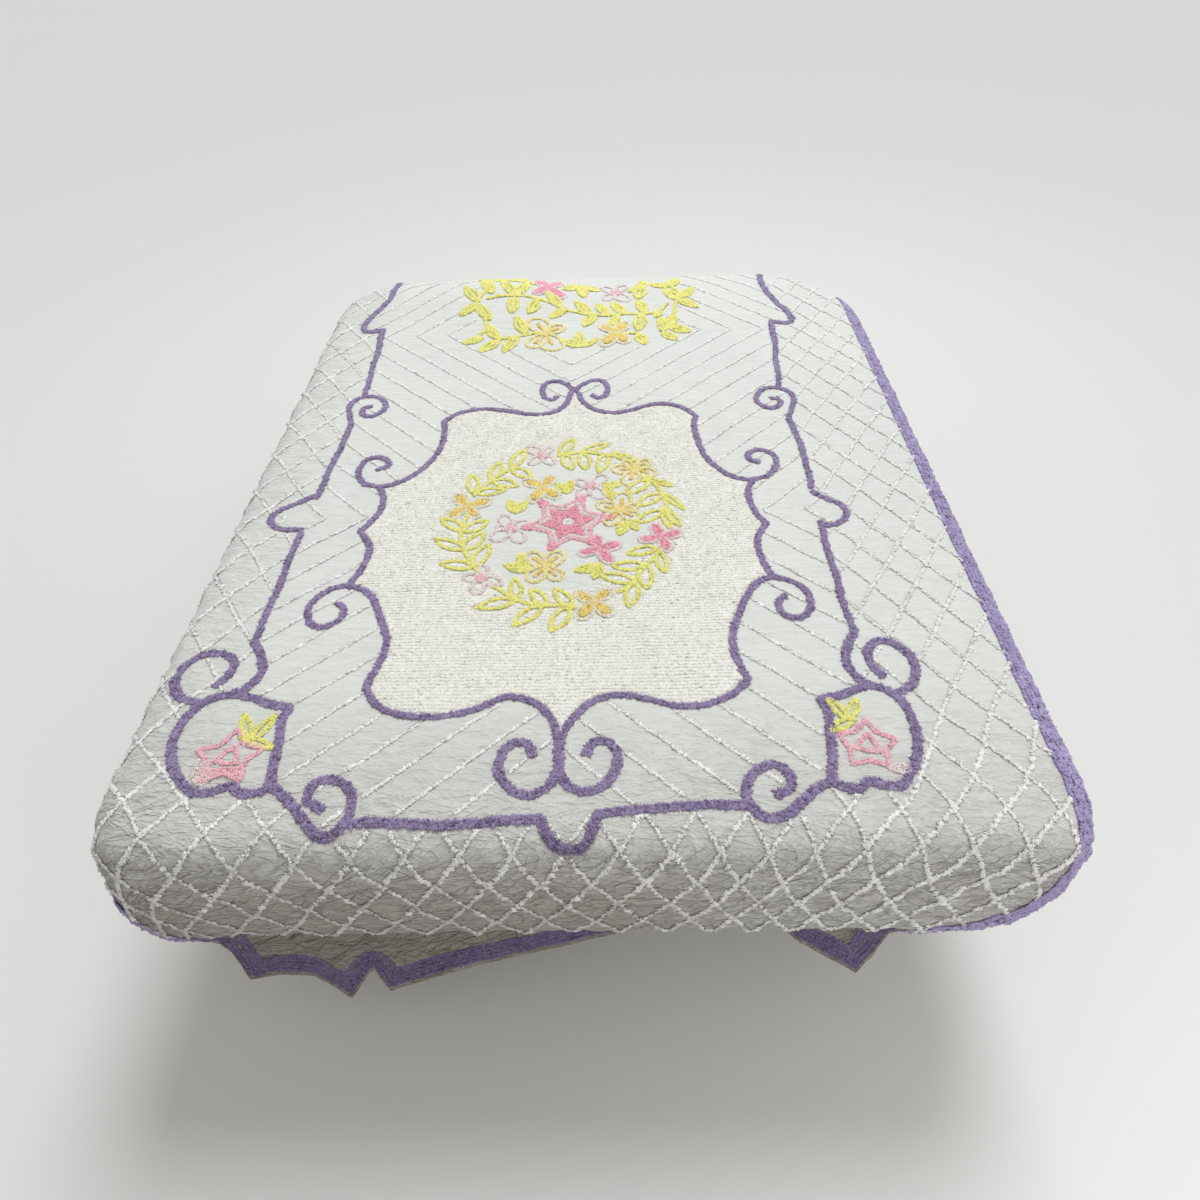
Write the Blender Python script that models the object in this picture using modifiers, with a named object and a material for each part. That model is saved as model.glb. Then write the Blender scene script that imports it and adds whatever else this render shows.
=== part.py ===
"""A chenille bedspread lying over a mattress on a plain recessed base.

The bedspread is one sheet of cloth. It lies flat on the mattress, turns over its soft edges,
hangs a little at the left side and far down at the head, and at the foot it falls down the
end of the mattress, is turned under it and comes out again with its hem hanging free.
X runs across the bed, -Y is the foot, +Y the head, Z is up, and the origin is the middle
of the underside of the base. Metres.
"""

import bmesh
import bpy
import numpy as np

# Mattress and base
MATTRESS_WIDTH = 1.54
MATTRESS_LENGTH = 2.00
MATTRESS_THICKNESS = 0.25
MATTRESS_CORNER = 0.14
MATTRESS_HEAD_LEFT = 0.25
MATTRESS_HEAD_RIGHT = 0.36
MATTRESS_EDGE = 0.06
BASE_HEIGHT = 0.30
BASE_INSET = 0.20
BASE_EDGE = 0.012
REST_GAP = 0.0003

# Bedspread: how it lies
CLOTH_THICKNESS = 0.004
CLOTH_GAP = 0.0025
EDGE_BEND = 0.055
CORNER_BEND = 0.11
HEAD_BEND_LEFT = 0.23
HEAD_BEND_RIGHT = 0.34
RIGHT_HEM = 0.763
LEFT_HEM = -0.881
HEAD_FALL = 0.39
HEAD_FLARE = 0.30
FOOT_FLARE = 0.10
HUMP_HEIGHT = 0.032

# Bedspread: the fall at the foot
FACE_FALL = 0.175
FACE_BULGE = 0.16
ROLL_BEND = 0.035
RETURN_BEND = 0.020

# The foot edge from left to right: place across the bed, length of cloth from the top edge
# to the hem, how far the roll turns under (1 is half a turn), run of cloth under the mattress,
# and how far the hem below the roll springs out from upright, in radians
FOOT_EDGE = (
    # x,     hem,   curl, tuck,  spring
    (-0.881, 0.050, 0.20, 0.000, 0.00),
    (-0.862, 0.170, 0.20, 0.000, 0.00),
    (-0.800, 0.272, 0.20, 0.000, 0.00),
    (-0.720, 0.320, 0.22, 0.000, 0.00),
    (-0.655, 0.345, 0.22, 0.000, 0.00),
    (-0.615, 0.455, 0.60, 0.000, 0.45),
    (-0.560, 0.454, 0.70, 0.003, 0.50),
    (-0.500, 0.464, 0.75, 0.005, 0.50),
    (-0.437, 0.515, 0.75, 0.006, 0.50),
    (-0.394, 0.458, 0.80, 0.008, 0.50),
    (-0.368, 0.508, 0.80, 0.008, 0.50),
    (-0.250, 0.471, 0.85, 0.008, 0.50),
    (-0.120, 0.447, 0.90, 0.008, 0.45),
    (0.020, 0.418, 0.95, 0.010, 0.40),
    (0.180, 0.388, 1.00, 0.012, 0.20),
    (0.310, 0.380, 1.00, 0.012, 0.20),
    (0.350, 0.410, 0.80, 0.008, 0.50),
    (0.454, 0.458, 0.70, 0.005, 0.55),
    (0.488, 0.400, 0.60, 0.000, 0.50),
    (0.515, 0.338, 0.30, 0.000, 0.10),
    (0.560, 0.318, 0.22, 0.000, 0.00),
    (0.620, 0.290, 0.22, 0.000, 0.00),
    (0.690, 0.224, 0.20, 0.000, 0.00),
    (0.745, 0.140, 0.20, 0.000, 0.00),
    (0.763, 0.050, 0.20, 0.000, 0.00),
)

ARC = EDGE_BEND * np.pi / 2
HALF_X = MATTRESS_WIDTH / 2 + CLOTH_GAP
HALF_Y = MATTRESS_LENGTH / 2 + CLOTH_GAP
FLAT_X = HALF_X - EDGE_BEND
FLAT_Y = HALF_Y - EDGE_BEND
TOP = BASE_HEIGHT + REST_GAP + MATTRESS_THICKNESS + CLOTH_GAP


def stations(zones):
    """Places along a line: each zone (start, stop, steps) is divided evenly."""
    places = [np.linspace(start, stop, steps, endpoint=False) for start, stop, steps in zones]
    return np.append(np.concatenate(places), zones[-1][1])


def ease(value, start, stop):
    """0 before start, 1 after stop, and a smooth S between them."""
    share = np.clip((value - start) / (stop - start), 0, 1)
    return share * share * (3 - 2 * share)


def foot_edge(x):
    """Hem length, curl, tuck and spring at each place across the bed, smoothed between rows."""
    rows = np.array(FOOT_EDGE)
    offsets = np.array((-0.012, -0.006, 0.0, 0.006, 0.012))
    spread = np.clip(x[..., None] + offsets, LEFT_HEM, RIGHT_HEM)
    hem = np.interp(x, rows[:, 0], rows[:, 1])
    curl = np.interp(spread, rows[:, 0], rows[:, 2]).mean(axis=-1)
    tuck = np.interp(spread, rows[:, 0], rows[:, 3]).mean(axis=-1)
    spring = np.interp(spread, rows[:, 0], rows[:, 4]).mean(axis=-1)
    return hem, curl, tuck, spring


def run(path, start, length, turn_from, turn_to):
    """Outward and downward travel inside one piece of a fall, from its heading in radians."""
    done = np.clip(path - start, 0, length)
    bend = (turn_to - turn_from) / length
    small = np.abs(bend) < 1e-6
    safe = np.where(small, 1.0, bend)
    out = np.where(
        small,
        done * np.cos(turn_from),
        (np.sin(turn_from + bend * done) - np.sin(turn_from)) / safe,
    )
    down = np.where(
        small,
        done * np.sin(turn_from),
        (np.cos(turn_from) - np.cos(turn_from + bend * done)) / safe,
    )
    return out, down


def fall(path, foot, curl, tuck, spring):
    """Outward and downward travel of the cloth after path metres beyond the flat top.

    It turns over the edge and goes straight down. At the foot it leans out a little, comes
    back, rolls under by curl half-turns, runs on by tuck and then turns down again, to hang
    out by spring from upright.
    """
    quarter = np.pi / 2
    lean = FACE_BULGE * foot
    under = quarter * (1 + curl)
    roll = ROLL_BEND * quarter
    back = RETURN_BEND * quarter
    turned = under * foot + quarter * (1 - foot)
    hung = quarter - spring * foot
    pieces = (
        (ARC, 0 * lean, quarter - lean),
        (FACE_FALL, quarter - lean, quarter + lean),
        (roll, quarter + lean, under * foot + (quarter + lean) * (1 - foot)),
        (tuck + 1e-5, turned, turned),
        (back, turned, hung),
        (1.0, hung, hung),
    )
    out = 0 * path
    down = 0 * path
    start = 0 * path
    for length, turn_from, turn_to in pieces:
        step_out, step_down = run(path, start, length, turn_from, turn_to)
        out = out + step_out
        down = down + step_down
        start = start + length
    return out, down


def humps(x, y):
    """Low soft humps of the bedding near the head, and a slight unevenness elsewhere."""
    left = np.exp(-((((x + 0.36) / 0.24) ** 2) + (((y - 0.86) / 0.20) ** 2)))
    right = np.exp(-((((x - 0.30) / 0.20) ** 2) + (((y - 0.80) / 0.18) ** 2)))
    wave = 0.5 + 0.25 * np.sin(5.1 * x + 1.0) * np.sin(3.7 * y + 0.4) + 0.25 * np.sin(7.3 * y - 2.0 * x)
    inside = ease(FLAT_X + 0.02 - np.abs(x), 0, 0.16) * ease(FLAT_Y + 0.03 - np.abs(y), 0, 0.12)
    return (HUMP_HEIGHT * left + 0.25 * HUMP_HEIGHT * right + 0.004 * wave) * inside


def corner_bend(s, t):
    """Radius in plan of the corner the cloth turns over: the head corners are the rounder."""
    return np.where(t < 0, CORNER_BEND, np.where(s < 0, HEAD_BEND_LEFT, HEAD_BEND_RIGHT))


def drape(s, t):
    """Where the point s across and t along the flat cloth comes to lie: three arrays."""
    bend = corner_bend(s, t)
    core_x = np.clip(s, bend - HALF_X, HALF_X - bend)
    core_y = np.clip(t, bend - HALF_Y, HALF_Y - bend)
    away_x = s - core_x
    away_y = t - core_y
    reach = np.hypot(away_x, away_y)
    safe = np.maximum(reach, 1e-9)
    north_x = away_x / safe
    north_y = away_y / safe
    path = np.maximum(reach - (bend - EDGE_BEND), 0)
    foot = ease(-north_y, 0.15, 0.85) * (t < 0)
    hem, curl, tuck, spring = foot_edge(s)
    out, down = fall(path, foot, curl, tuck, spring)
    corner = (2 * north_x * north_y) ** 2
    hang = np.maximum(path - ARC, 0)
    flare = np.where(t > 0, HEAD_FLARE, FOOT_FLARE) * corner * hang
    sway = 0.008 * np.sin(9.0 * s + 7.0 * t) * ease(hang, 0.02, 0.25) * (1 - foot)
    outward = np.minimum(reach, bend - EDGE_BEND) + out + flare + np.maximum(sway, 0)
    x = core_x + north_x * outward
    y = core_y + north_y * outward
    z = TOP - down + 0.35 * flare + humps(s, t)
    return x, y, z


def material(name, color, roughness):
    made = bpy.data.materials.new(name)
    made.use_nodes = True
    shader = made.node_tree.nodes["Principled BSDF"]
    shader.inputs["Base Color"].default_value = (*color, 1)
    shader.inputs["Roughness"].default_value = roughness
    shader.inputs["Metallic"].default_value = 0
    return made


def add_object(name, bm, look, parent):
    mesh = bpy.data.meshes.new(name)
    bm.to_mesh(mesh)
    bm.free()
    mesh.materials.append(look)
    made = bpy.data.objects.new(name, mesh)
    made.parent = parent
    bpy.data.collections["bedspread_on_mattress"].objects.link(made)
    return made


def soft_block(width, length, height, corners, edge, corner_steps, edge_steps):
    """A block with round upright corners and soft edges round its top and underside. corners
    gives the radius of the foot pair, the left head corner and the right head corner."""
    bm = bmesh.new()
    bmesh.ops.create_cube(bm, size=1)
    bmesh.ops.scale(bm, vec=(width, length, height), verts=bm.verts)
    foot, head_left, head_right = corners
    for x, y, radius in ((-1, -1, foot), (1, -1, foot), (-1, 1, head_left), (1, 1, head_right)):
        upright = [
            e
            for e in bm.edges
            if abs(e.verts[0].co.z - e.verts[1].co.z) > height / 2
            and (e.verts[0].co.x * x / width + e.verts[0].co.y * y / length) > 0.999
        ]
        bmesh.ops.bevel(
            bm, geom=upright, offset=radius, segments=corner_steps, profile=0.5, affect="EDGES"
        )
    rim = [
        e
        for e in bm.edges
        if abs(e.verts[0].co.z - e.verts[1].co.z) < 1e-6 and len(e.link_faces) == 2
    ]
    bmesh.ops.bevel(bm, geom=rim, offset=edge, segments=edge_steps, profile=0.5, affect="EDGES")
    bmesh.ops.recalc_face_normals(bm, faces=bm.faces)
    return bm


def bedspread():
    """The sheet: a grid over the flat cloth, its last rows drawn in to the foot edge."""
    across = stations(
        (
            (LEFT_HEM, -0.801, 2),
            (-0.801, -FLAT_X, 4),
            (-FLAT_X, -0.66, 2),
            (-0.66, -0.60, 4),
            (-0.60, -0.50, 3),
            (-0.50, -0.35, 7),
            (-0.35, 0.30, 8),
            (0.30, 0.52, 9),
            (0.52, FLAT_X, 5),
            (FLAT_X, RIGHT_HEM, 3),
        )
    )
    straight = FACE_FALL + ARC
    roll_end = straight + ROLL_BEND * np.pi / 2
    along = stations(
        (
            (-0.5, -roll_end, 9),
            (-roll_end, -straight, 4),
            (-straight, -ARC, 4),
            (-ARC, 0.0, 4),
            (0.0, 0.06, 2),
            (0.06, 0.30, 2),
            (0.30, 1.40, 7),
            (1.40, 1.62, 2),
            (1.62, 2 * FLAT_Y, 5),
            (2 * FLAT_Y, 2 * FLAT_Y + ARC, 4),
            (2 * FLAT_Y + ARC, 2 * FLAT_Y + HEAD_FALL, 4),
        )
    )
    bm = bmesh.new()
    bmesh.ops.create_grid(bm, x_segments=len(across) - 1, y_segments=len(along) - 1, size=0.5)
    bm.verts.ensure_lookup_table()
    place = np.array([v.co[:] for v in bm.verts])
    column = np.rint((place[:, 0] + 0.5) * (len(across) - 1)).astype(int)
    row = np.rint((place[:, 1] + 0.5) * (len(along) - 1)).astype(int)
    s = across[column]
    past = along[row]
    hem = foot_edge(s)[0]
    t = np.where(past < 0, past * hem / 0.5, past) - FLAT_Y
    x, y, z = drape(s, t)
    for vert, spot in zip(bm.verts, np.stack((x, y, z), axis=1)):
        vert.co = spot
    return bm


for old in list(bpy.data.objects):
    bpy.data.objects.remove(old, do_unlink=True)

group = bpy.data.collections.new("bedspread_on_mattress")
bpy.context.scene.collection.children.link(group)
root = bpy.data.objects.new("bed", None)
group.objects.link(root)

cotton = material("chenille_cotton", (0.80, 0.80, 0.77), 0.95)
ticking = material("mattress_ticking", (0.72, 0.71, 0.68), 0.9)
board = material("base_cover", (0.35, 0.34, 0.33), 0.85)

base = add_object(
    "bed_base",
    soft_block(
        MATTRESS_WIDTH - 2 * BASE_INSET,
        MATTRESS_LENGTH - 2 * BASE_INSET,
        BASE_HEIGHT,
        (0.04, 0.04, 0.04),
        BASE_EDGE,
        3,
        2,
    ),
    board,
    root,
)
base.location = (0, 0, BASE_HEIGHT / 2)

mattress = add_object(
    "mattress",
    soft_block(
        MATTRESS_WIDTH,
        MATTRESS_LENGTH,
        MATTRESS_THICKNESS,
        (MATTRESS_CORNER, MATTRESS_HEAD_LEFT, MATTRESS_HEAD_RIGHT),
        MATTRESS_EDGE,
        9,
        4,
    ),
    ticking,
    root,
)
mattress.location = (0, 0, BASE_HEIGHT + REST_GAP + MATTRESS_THICKNESS / 2)

spread = add_object("bedspread", bedspread(), cotton, root)
shell = spread.modifiers.new("thickness", "SOLIDIFY")
shell.thickness = CLOTH_THICKNESS
shell.offset = 1
shell.use_even_offset = False

for made in (base, mattress, spread):
    made.data.shade_smooth()
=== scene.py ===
"""A chenille bedspread lying over a mattress, seen from the foot of the bed.

The cloth is one thin sheet of puckered muslin. Every figure on it is tufted: rows of cut cotton
tufts that stand on the sheet, drawn on the flat cloth first and then carried to where the cloth
comes to lie. Flat places are (s, t) in metres: s across from the middle of the bed, t along it.
The figures are drawn from their own middle line, which lies PATTERN_SHIFT to one side.
"""

import math

import bmesh
import bpy
import numpy as np
from mathutils import Matrix, Vector


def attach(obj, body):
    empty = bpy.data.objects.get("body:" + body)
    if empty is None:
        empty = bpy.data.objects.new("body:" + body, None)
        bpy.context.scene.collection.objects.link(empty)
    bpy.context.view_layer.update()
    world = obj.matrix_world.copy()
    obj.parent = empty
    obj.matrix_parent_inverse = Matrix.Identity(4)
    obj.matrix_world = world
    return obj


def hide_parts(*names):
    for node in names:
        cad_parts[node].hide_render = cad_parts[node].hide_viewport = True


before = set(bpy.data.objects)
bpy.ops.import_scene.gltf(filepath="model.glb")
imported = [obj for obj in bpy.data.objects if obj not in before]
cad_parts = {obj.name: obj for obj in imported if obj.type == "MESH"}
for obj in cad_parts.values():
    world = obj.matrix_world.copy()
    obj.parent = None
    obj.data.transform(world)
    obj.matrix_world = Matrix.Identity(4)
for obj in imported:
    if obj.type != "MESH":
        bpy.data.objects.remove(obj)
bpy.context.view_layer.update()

# ---------------------------------------------------------------- sizes of the bed
MATTRESS_WIDTH = 1.54
MATTRESS_LENGTH = 2.00
MATTRESS_THICKNESS = 0.25
BASE_HEIGHT = 0.30
REST_GAP = 0.0003
CLOTH_GAP = 0.0025
EDGE_BEND = 0.055
CORNER_BEND = 0.11
HEAD_BEND_LEFT = 0.23
HEAD_BEND_RIGHT = 0.34
MATTRESS_CORNER = 0.14
MATTRESS_HEAD_LEFT = 0.25
MATTRESS_HEAD_RIGHT = 0.36
MATTRESS_EDGE = 0.06
RIGHT_HEM = 0.763
LEFT_HEM = -0.881
HEAD_FALL = 0.39
HEAD_FLARE = 0.30
FOOT_FLARE = 0.10
HUMP_HEIGHT = 0.032
FACE_FALL = 0.175
FACE_BULGE = 0.16
ROLL_BEND = 0.035
RETURN_BEND = 0.020
FOOT_EDGE = (
    # x,     hem,   curl, tuck,  spring
    (-0.881, 0.050, 0.20, 0.000, 0.00),
    (-0.862, 0.170, 0.20, 0.000, 0.00),
    (-0.800, 0.272, 0.20, 0.000, 0.00),
    (-0.720, 0.320, 0.22, 0.000, 0.00),
    (-0.655, 0.345, 0.22, 0.000, 0.00),
    (-0.615, 0.455, 0.60, 0.000, 0.45),
    (-0.560, 0.454, 0.70, 0.003, 0.50),
    (-0.500, 0.464, 0.75, 0.005, 0.50),
    (-0.437, 0.515, 0.75, 0.006, 0.50),
    (-0.394, 0.458, 0.80, 0.008, 0.50),
    (-0.368, 0.508, 0.80, 0.008, 0.50),
    (-0.250, 0.471, 0.85, 0.008, 0.50),
    (-0.120, 0.447, 0.90, 0.008, 0.45),
    (0.020, 0.418, 0.95, 0.010, 0.40),
    (0.180, 0.388, 1.00, 0.012, 0.20),
    (0.310, 0.380, 1.00, 0.012, 0.20),
    (0.350, 0.410, 0.80, 0.008, 0.50),
    (0.454, 0.458, 0.70, 0.005, 0.55),
    (0.488, 0.400, 0.60, 0.000, 0.50),
    (0.515, 0.338, 0.30, 0.000, 0.10),
    (0.560, 0.318, 0.22, 0.000, 0.00),
    (0.620, 0.290, 0.22, 0.000, 0.00),
    (0.690, 0.224, 0.20, 0.000, 0.00),
    (0.745, 0.140, 0.20, 0.000, 0.00),
    (0.763, 0.050, 0.20, 0.000, 0.00),
)
ARC = EDGE_BEND * np.pi / 2
HALF_X = MATTRESS_WIDTH / 2 + CLOTH_GAP
HALF_Y = MATTRESS_LENGTH / 2 + CLOTH_GAP
FLAT_X = HALF_X - EDGE_BEND
FLAT_Y = HALF_Y - EDGE_BEND
TOP = BASE_HEIGHT + REST_GAP + MATTRESS_THICKNESS + CLOTH_GAP
HEAD_HEM = FLAT_Y + HEAD_FALL
GRID_PAST_FOOT = 0.5

# ---------------------------------------------------------------- sizes of the work
PATTERN_SHIFT = -0.0585
SHEET_UNDERSIDE = 0.0012
SHEET_THICKNESS = 0.0018
PLAIN_FROM = 0.318
rng = np.random.default_rng(11)


# ---------------------------------------------------------------- how the cloth lies
def stations(*zones):
    """Places along a line: each zone (start, stop, steps) is divided evenly."""
    places = [
        np.linspace(start, stop, steps, endpoint=False)
        for start, stop, steps in zones
    ]
    return np.append(np.concatenate(places), zones[-1][1])


def ease(value, start, stop):
    """0 before start, 1 after stop, and a smooth S between them."""
    share = np.clip((value - start) / (stop - start), 0, 1)
    return share * share * (3 - 2 * share)


def foot_edge(x):
    """Hem length, curl, tuck and spring at each place across the bed, smoothed between rows."""
    rows = np.array(FOOT_EDGE)
    offsets = np.array((-0.012, -0.006, 0.0, 0.006, 0.012))
    spread = np.clip(x[..., None] + offsets, LEFT_HEM, RIGHT_HEM)
    hem = np.interp(x, rows[:, 0], rows[:, 1])
    return hem, *(np.interp(spread, rows[:, 0], rows[:, k]).mean(axis=-1) for k in (2, 3, 4))


def run(path, start, length, turn_from, turn_to):
    """Outward and downward travel inside one piece of a fall, from its heading in radians."""
    done = np.clip(path - start, 0, length)
    bend = (turn_to - turn_from) / length
    small = np.abs(bend) < 1e-6
    safe = np.where(small, 1.0, bend)
    heading = turn_from + bend * done
    out = np.where(small, done * np.cos(turn_from), (np.sin(heading) - np.sin(turn_from)) / safe)
    down = np.where(small, done * np.sin(turn_from), (np.cos(turn_from) - np.cos(heading)) / safe)
    return out, down


def fall(path, foot, curl, tuck, spring):
    """Outward and downward travel of the cloth after path metres beyond the flat top.

    It turns over the edge and goes straight down. At the foot it leans out a little, comes
    back, rolls under by curl half-turns, runs on by tuck and then turns down again, to hang
    out by spring from upright.
    """
    quarter = np.pi / 2
    lean = FACE_BULGE * foot
    under = quarter * (1 + curl)
    roll = ROLL_BEND * quarter
    back = RETURN_BEND * quarter
    turned = under * foot + quarter * (1 - foot)
    hung = quarter - spring * foot
    pieces = (
        (ARC, 0 * lean, quarter - lean),
        (FACE_FALL, quarter - lean, quarter + lean),
        (roll, quarter + lean, under * foot + (quarter + lean) * (1 - foot)),
        (tuck + 1e-5, turned, turned),
        (back, turned, hung),
        (1.0, hung, hung),
    )
    out, down, start = 0 * path, 0 * path, 0 * path
    for length, turn_from, turn_to in pieces:
        step_out, step_down = run(path, start, length, turn_from, turn_to)
        out = out + step_out
        down = down + step_down
        start = start + length
    return out, down


def humps(x, y):
    """Low soft humps of the bedding near the head, and a slight unevenness elsewhere."""
    left = np.exp(-((((x + 0.36) / 0.24) ** 2) + (((y - 0.86) / 0.20) ** 2)))
    right = np.exp(-((((x - 0.30) / 0.20) ** 2) + (((y - 0.80) / 0.18) ** 2)))
    wave = 0.5 + 0.25 * np.sin(5.1 * x + 1.0) * np.sin(3.7 * y + 0.4) + 0.25 * np.sin(7.3 * y - 2.0 * x)
    inside = ease(FLAT_X + 0.02 - np.abs(x), 0, 0.16) * ease(FLAT_Y + 0.03 - np.abs(y), 0, 0.12)
    return (HUMP_HEIGHT * left + 0.25 * HUMP_HEIGHT * right + 0.004 * wave) * inside


def corner_bend(s, t):
    """Radius in plan of the corner the cloth turns over: the head corners are the rounder."""
    return np.where(t < 0, CORNER_BEND, np.where(s < 0, HEAD_BEND_LEFT, HEAD_BEND_RIGHT))


def drape(s, t):
    """Where the point s across and t along the flat cloth comes to lie, as rows of x, y, z."""
    bend = corner_bend(s, t)
    core_x = np.clip(s, bend - HALF_X, HALF_X - bend)
    core_y = np.clip(t, bend - HALF_Y, HALF_Y - bend)
    away_x = s - core_x
    away_y = t - core_y
    reach = np.hypot(away_x, away_y)
    safe = np.maximum(reach, 1e-9)
    north_x = away_x / safe
    north_y = away_y / safe
    path = np.maximum(reach - (bend - EDGE_BEND), 0)
    foot = ease(-north_y, 0.15, 0.85) * (t < 0)
    hem, curl, tuck, spring = foot_edge(s)
    out, down = fall(path, foot, curl, tuck, spring)
    corner = (2 * north_x * north_y) ** 2
    hang = np.maximum(path - ARC, 0)
    flare = np.where(t > 0, HEAD_FLARE, FOOT_FLARE) * corner * hang
    sway = 0.008 * np.sin(9.0 * s + 7.0 * t) * ease(hang, 0.02, 0.25) * (1 - foot)
    outward = np.minimum(reach, bend - EDGE_BEND) + out + flare + np.maximum(sway, 0)
    x = core_x + north_x * outward
    y = core_y + north_y * outward
    z = TOP - down + 0.35 * flare + humps(s, t)
    return np.stack((x, y, z), axis=-1)


def beyond_foot(t):
    """Length of cloth past the flat top towards the foot."""
    return np.maximum(-FLAT_Y - t, 0)


def ripples(s, t, count, longest, shortest, stretch, seed):
    """Soft irregular waves between -1 and 1: a sum of sines whose lengths run from longest to
    shortest, each bent by a slower wave, with crests stretched across the bed by stretch."""
    pick = np.random.default_rng(seed)
    total = 0 * s
    for step in range(count):
        length = longest * (shortest / longest) ** (step / max(count - 1, 1))
        angle = pick.uniform(0, 2 * np.pi)
        phase = pick.uniform(0, 2 * np.pi, 3)
        bent = 0.35 * length * np.sin(2 * np.pi * (s * 0.6 - t * 0.5) / (2.7 * length) + phase[1])
        along = (s / stretch) * np.cos(angle) + (t + bent) * np.sin(angle)
        total = total + np.sin(2 * np.pi * along / length + phase[0])
    return total / count**0.5 / 1.2


def slackness(s, t):
    """How slack the cloth lies: 1 on the fall at the foot, a third near the foot, least in the
    middle and along the right side."""
    past = beyond_foot(t)
    near_foot = 0.34 * ease(-t, 0.66, 0.96) + 0.66 * ease(past, 0.0, 0.10)
    left = 0.22 * ease(-s, 0.55, 0.72)
    return np.clip(0.16 + 0.84 * near_foot + left, 0, 1)


def wrinkles(s, t):
    """Height of the folds on the sheet in metres, never below zero: faint on top, and crosswise
    creases on the fall at the foot where the cloth is slack."""
    slack = slackness(s, t)
    broad = 0.0010 * (1 + ripples(s, t, 7, 0.19, 0.06, 1.0, 3))
    creased = 0.0018 * (1 + ripples(s, t, 10, 0.080, 0.024, 2.4, 5)) * slack**1.5
    sides = 0.0012 * (1 + ripples(s, t, 6, 0.06, 0.03, 0.9, 8)) * ease(np.abs(s), 0.55, 0.74)
    return np.clip(broad + creased + sides, 0, 0.0075)


def unit(vectors):
    """The directions of vectors, each of length 1."""
    return vectors / np.maximum(np.linalg.norm(vectors, axis=-1, keepdims=True), 1e-12)


def lay(s, t, above=0.0):
    """Places on the sheet's outer face, raised by above, with the unit directions across,
    along and out of the cloth there."""
    small = 0.0012
    across = unit(drape(s + small, t) - drape(s - small, t))
    along = unit(drape(s, t + small) - drape(s, t - small))
    out = unit(np.cross(across, along))
    lift = SHEET_UNDERSIDE + SHEET_THICKNESS + wrinkles(s, t) + above
    return drape(s, t) + out * np.asarray(lift)[..., None], across, np.cross(out, across), out


# ---------------------------------------------------------------- meshes
def packed(values, kind=np.float32):
    """Values in one flat row, as a mesh takes them."""
    return np.ascontiguousarray(values, kind).ravel()


def make_mesh(name, points, faces, floats=None, flat=None):
    """A mesh object from an array of points and an array of equal-sided faces, with named
    numbers per point and, if given, the flat place of each point as a UV map."""
    mesh = bpy.data.meshes.new(name)
    sides = faces.shape[1]
    mesh.vertices.add(len(points))
    mesh.vertices.foreach_set("co", packed(points))
    mesh.loops.add(faces.size)
    mesh.loops.foreach_set("vertex_index", packed(faces, np.int32))
    mesh.polygons.add(len(faces))
    mesh.polygons.foreach_set("loop_start", np.arange(0, faces.size, sides, dtype=np.int32))
    mesh.update(calc_edges=True)
    for key, values in (floats or {}).items():
        layer = mesh.attributes.new(key, "FLOAT", "POINT")
        layer.data.foreach_set("value", packed(values))
    if flat is not None:
        layer = mesh.uv_layers.new(name="flat")
        layer.data.foreach_set("uv", packed(flat[faces.ravel()]))
    mesh.validate()
    made = bpy.data.objects.new(name, mesh)
    bpy.context.scene.collection.objects.link(made)
    return made


def grid_faces(rows, columns):
    """Quads over a grid of rows by columns points, numbered row by row."""
    corner = (np.arange(rows - 1)[:, None] * columns + np.arange(columns - 1)).ravel()
    return np.stack((corner, corner + 1, corner + columns + 1, corner + columns), axis=1)


def tufted(name, spots, radius, height, look, spikes=5, tone=0.10, ragged=0.18):
    """Cut tufts standing at flat spots: each is a small ragged star of spikes points round a
    raised middle, turned, sized and leaned a little differently from its neighbours."""
    count = len(spots)
    place, across, along, out = lay(*spots.T)
    size = radius * rng.uniform(1 - ragged, 1 + ragged, count)
    tall = height * rng.uniform(0.65, 1.25, count)
    start = rng.uniform(0, 2 * np.pi, count)
    lean = rng.normal(0, 0.25, (count, 2)) * size[:, None]
    turn = start[:, None] + 2 * np.pi * (np.arange(2 * spikes) / (2 * spikes))
    turn = turn + rng.uniform(-0.2, 0.2, turn.shape)
    is_tip = (np.arange(2 * spikes) % 2 == 0)[None, :]
    far = size[:, None] * np.where(is_tip, rng.uniform(1 - ragged, 1.1 + 1.6 * ragged, turn.shape), 0.52)
    high = tall[:, None] * np.where(is_tip, rng.uniform(0.20, 0.62, turn.shape), 0.12)
    local = np.zeros((count, 1 + 2 * spikes, 3))
    local[:, 0, 0:2] = lean
    local[:, 0, 2] = tall
    local[:, 1:, 0] = far * np.cos(turn)
    local[:, 1:, 1] = far * np.sin(turn)
    local[:, 1:, 2] = high
    points = place[:, None, :] + (
        local[..., 0:1] * across[:, None, :]
        + local[..., 1:2] * along[:, None, :]
        + local[..., 2:3] * out[:, None, :]
    )
    ring = np.arange(2 * spikes)
    fan = np.stack((0 * ring, 1 + ring, 1 + (ring + 1) % (2 * spikes)), axis=1)
    faces = (fan[None] + (np.arange(count) * (1 + 2 * spikes))[:, None, None]).reshape(-1, 3)
    # tip: 1 at the raised middle, 0.72 at the spike ends, 0 at the ring near the cloth; the yarn looks paint shade
    # where it is low
    tip = np.concatenate((np.ones((count, 1)), np.broadcast_to(np.where(is_tip, 0.72, 0.0), turn.shape)), axis=1)
    shade = np.repeat(rng.normal(0, tone, count), 1 + 2 * spikes)
    made = make_mesh(name, points.reshape(-1, 3), faces, {"tip": tip, "shade": shade})
    made.data.materials.append(look)
    return made


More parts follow.
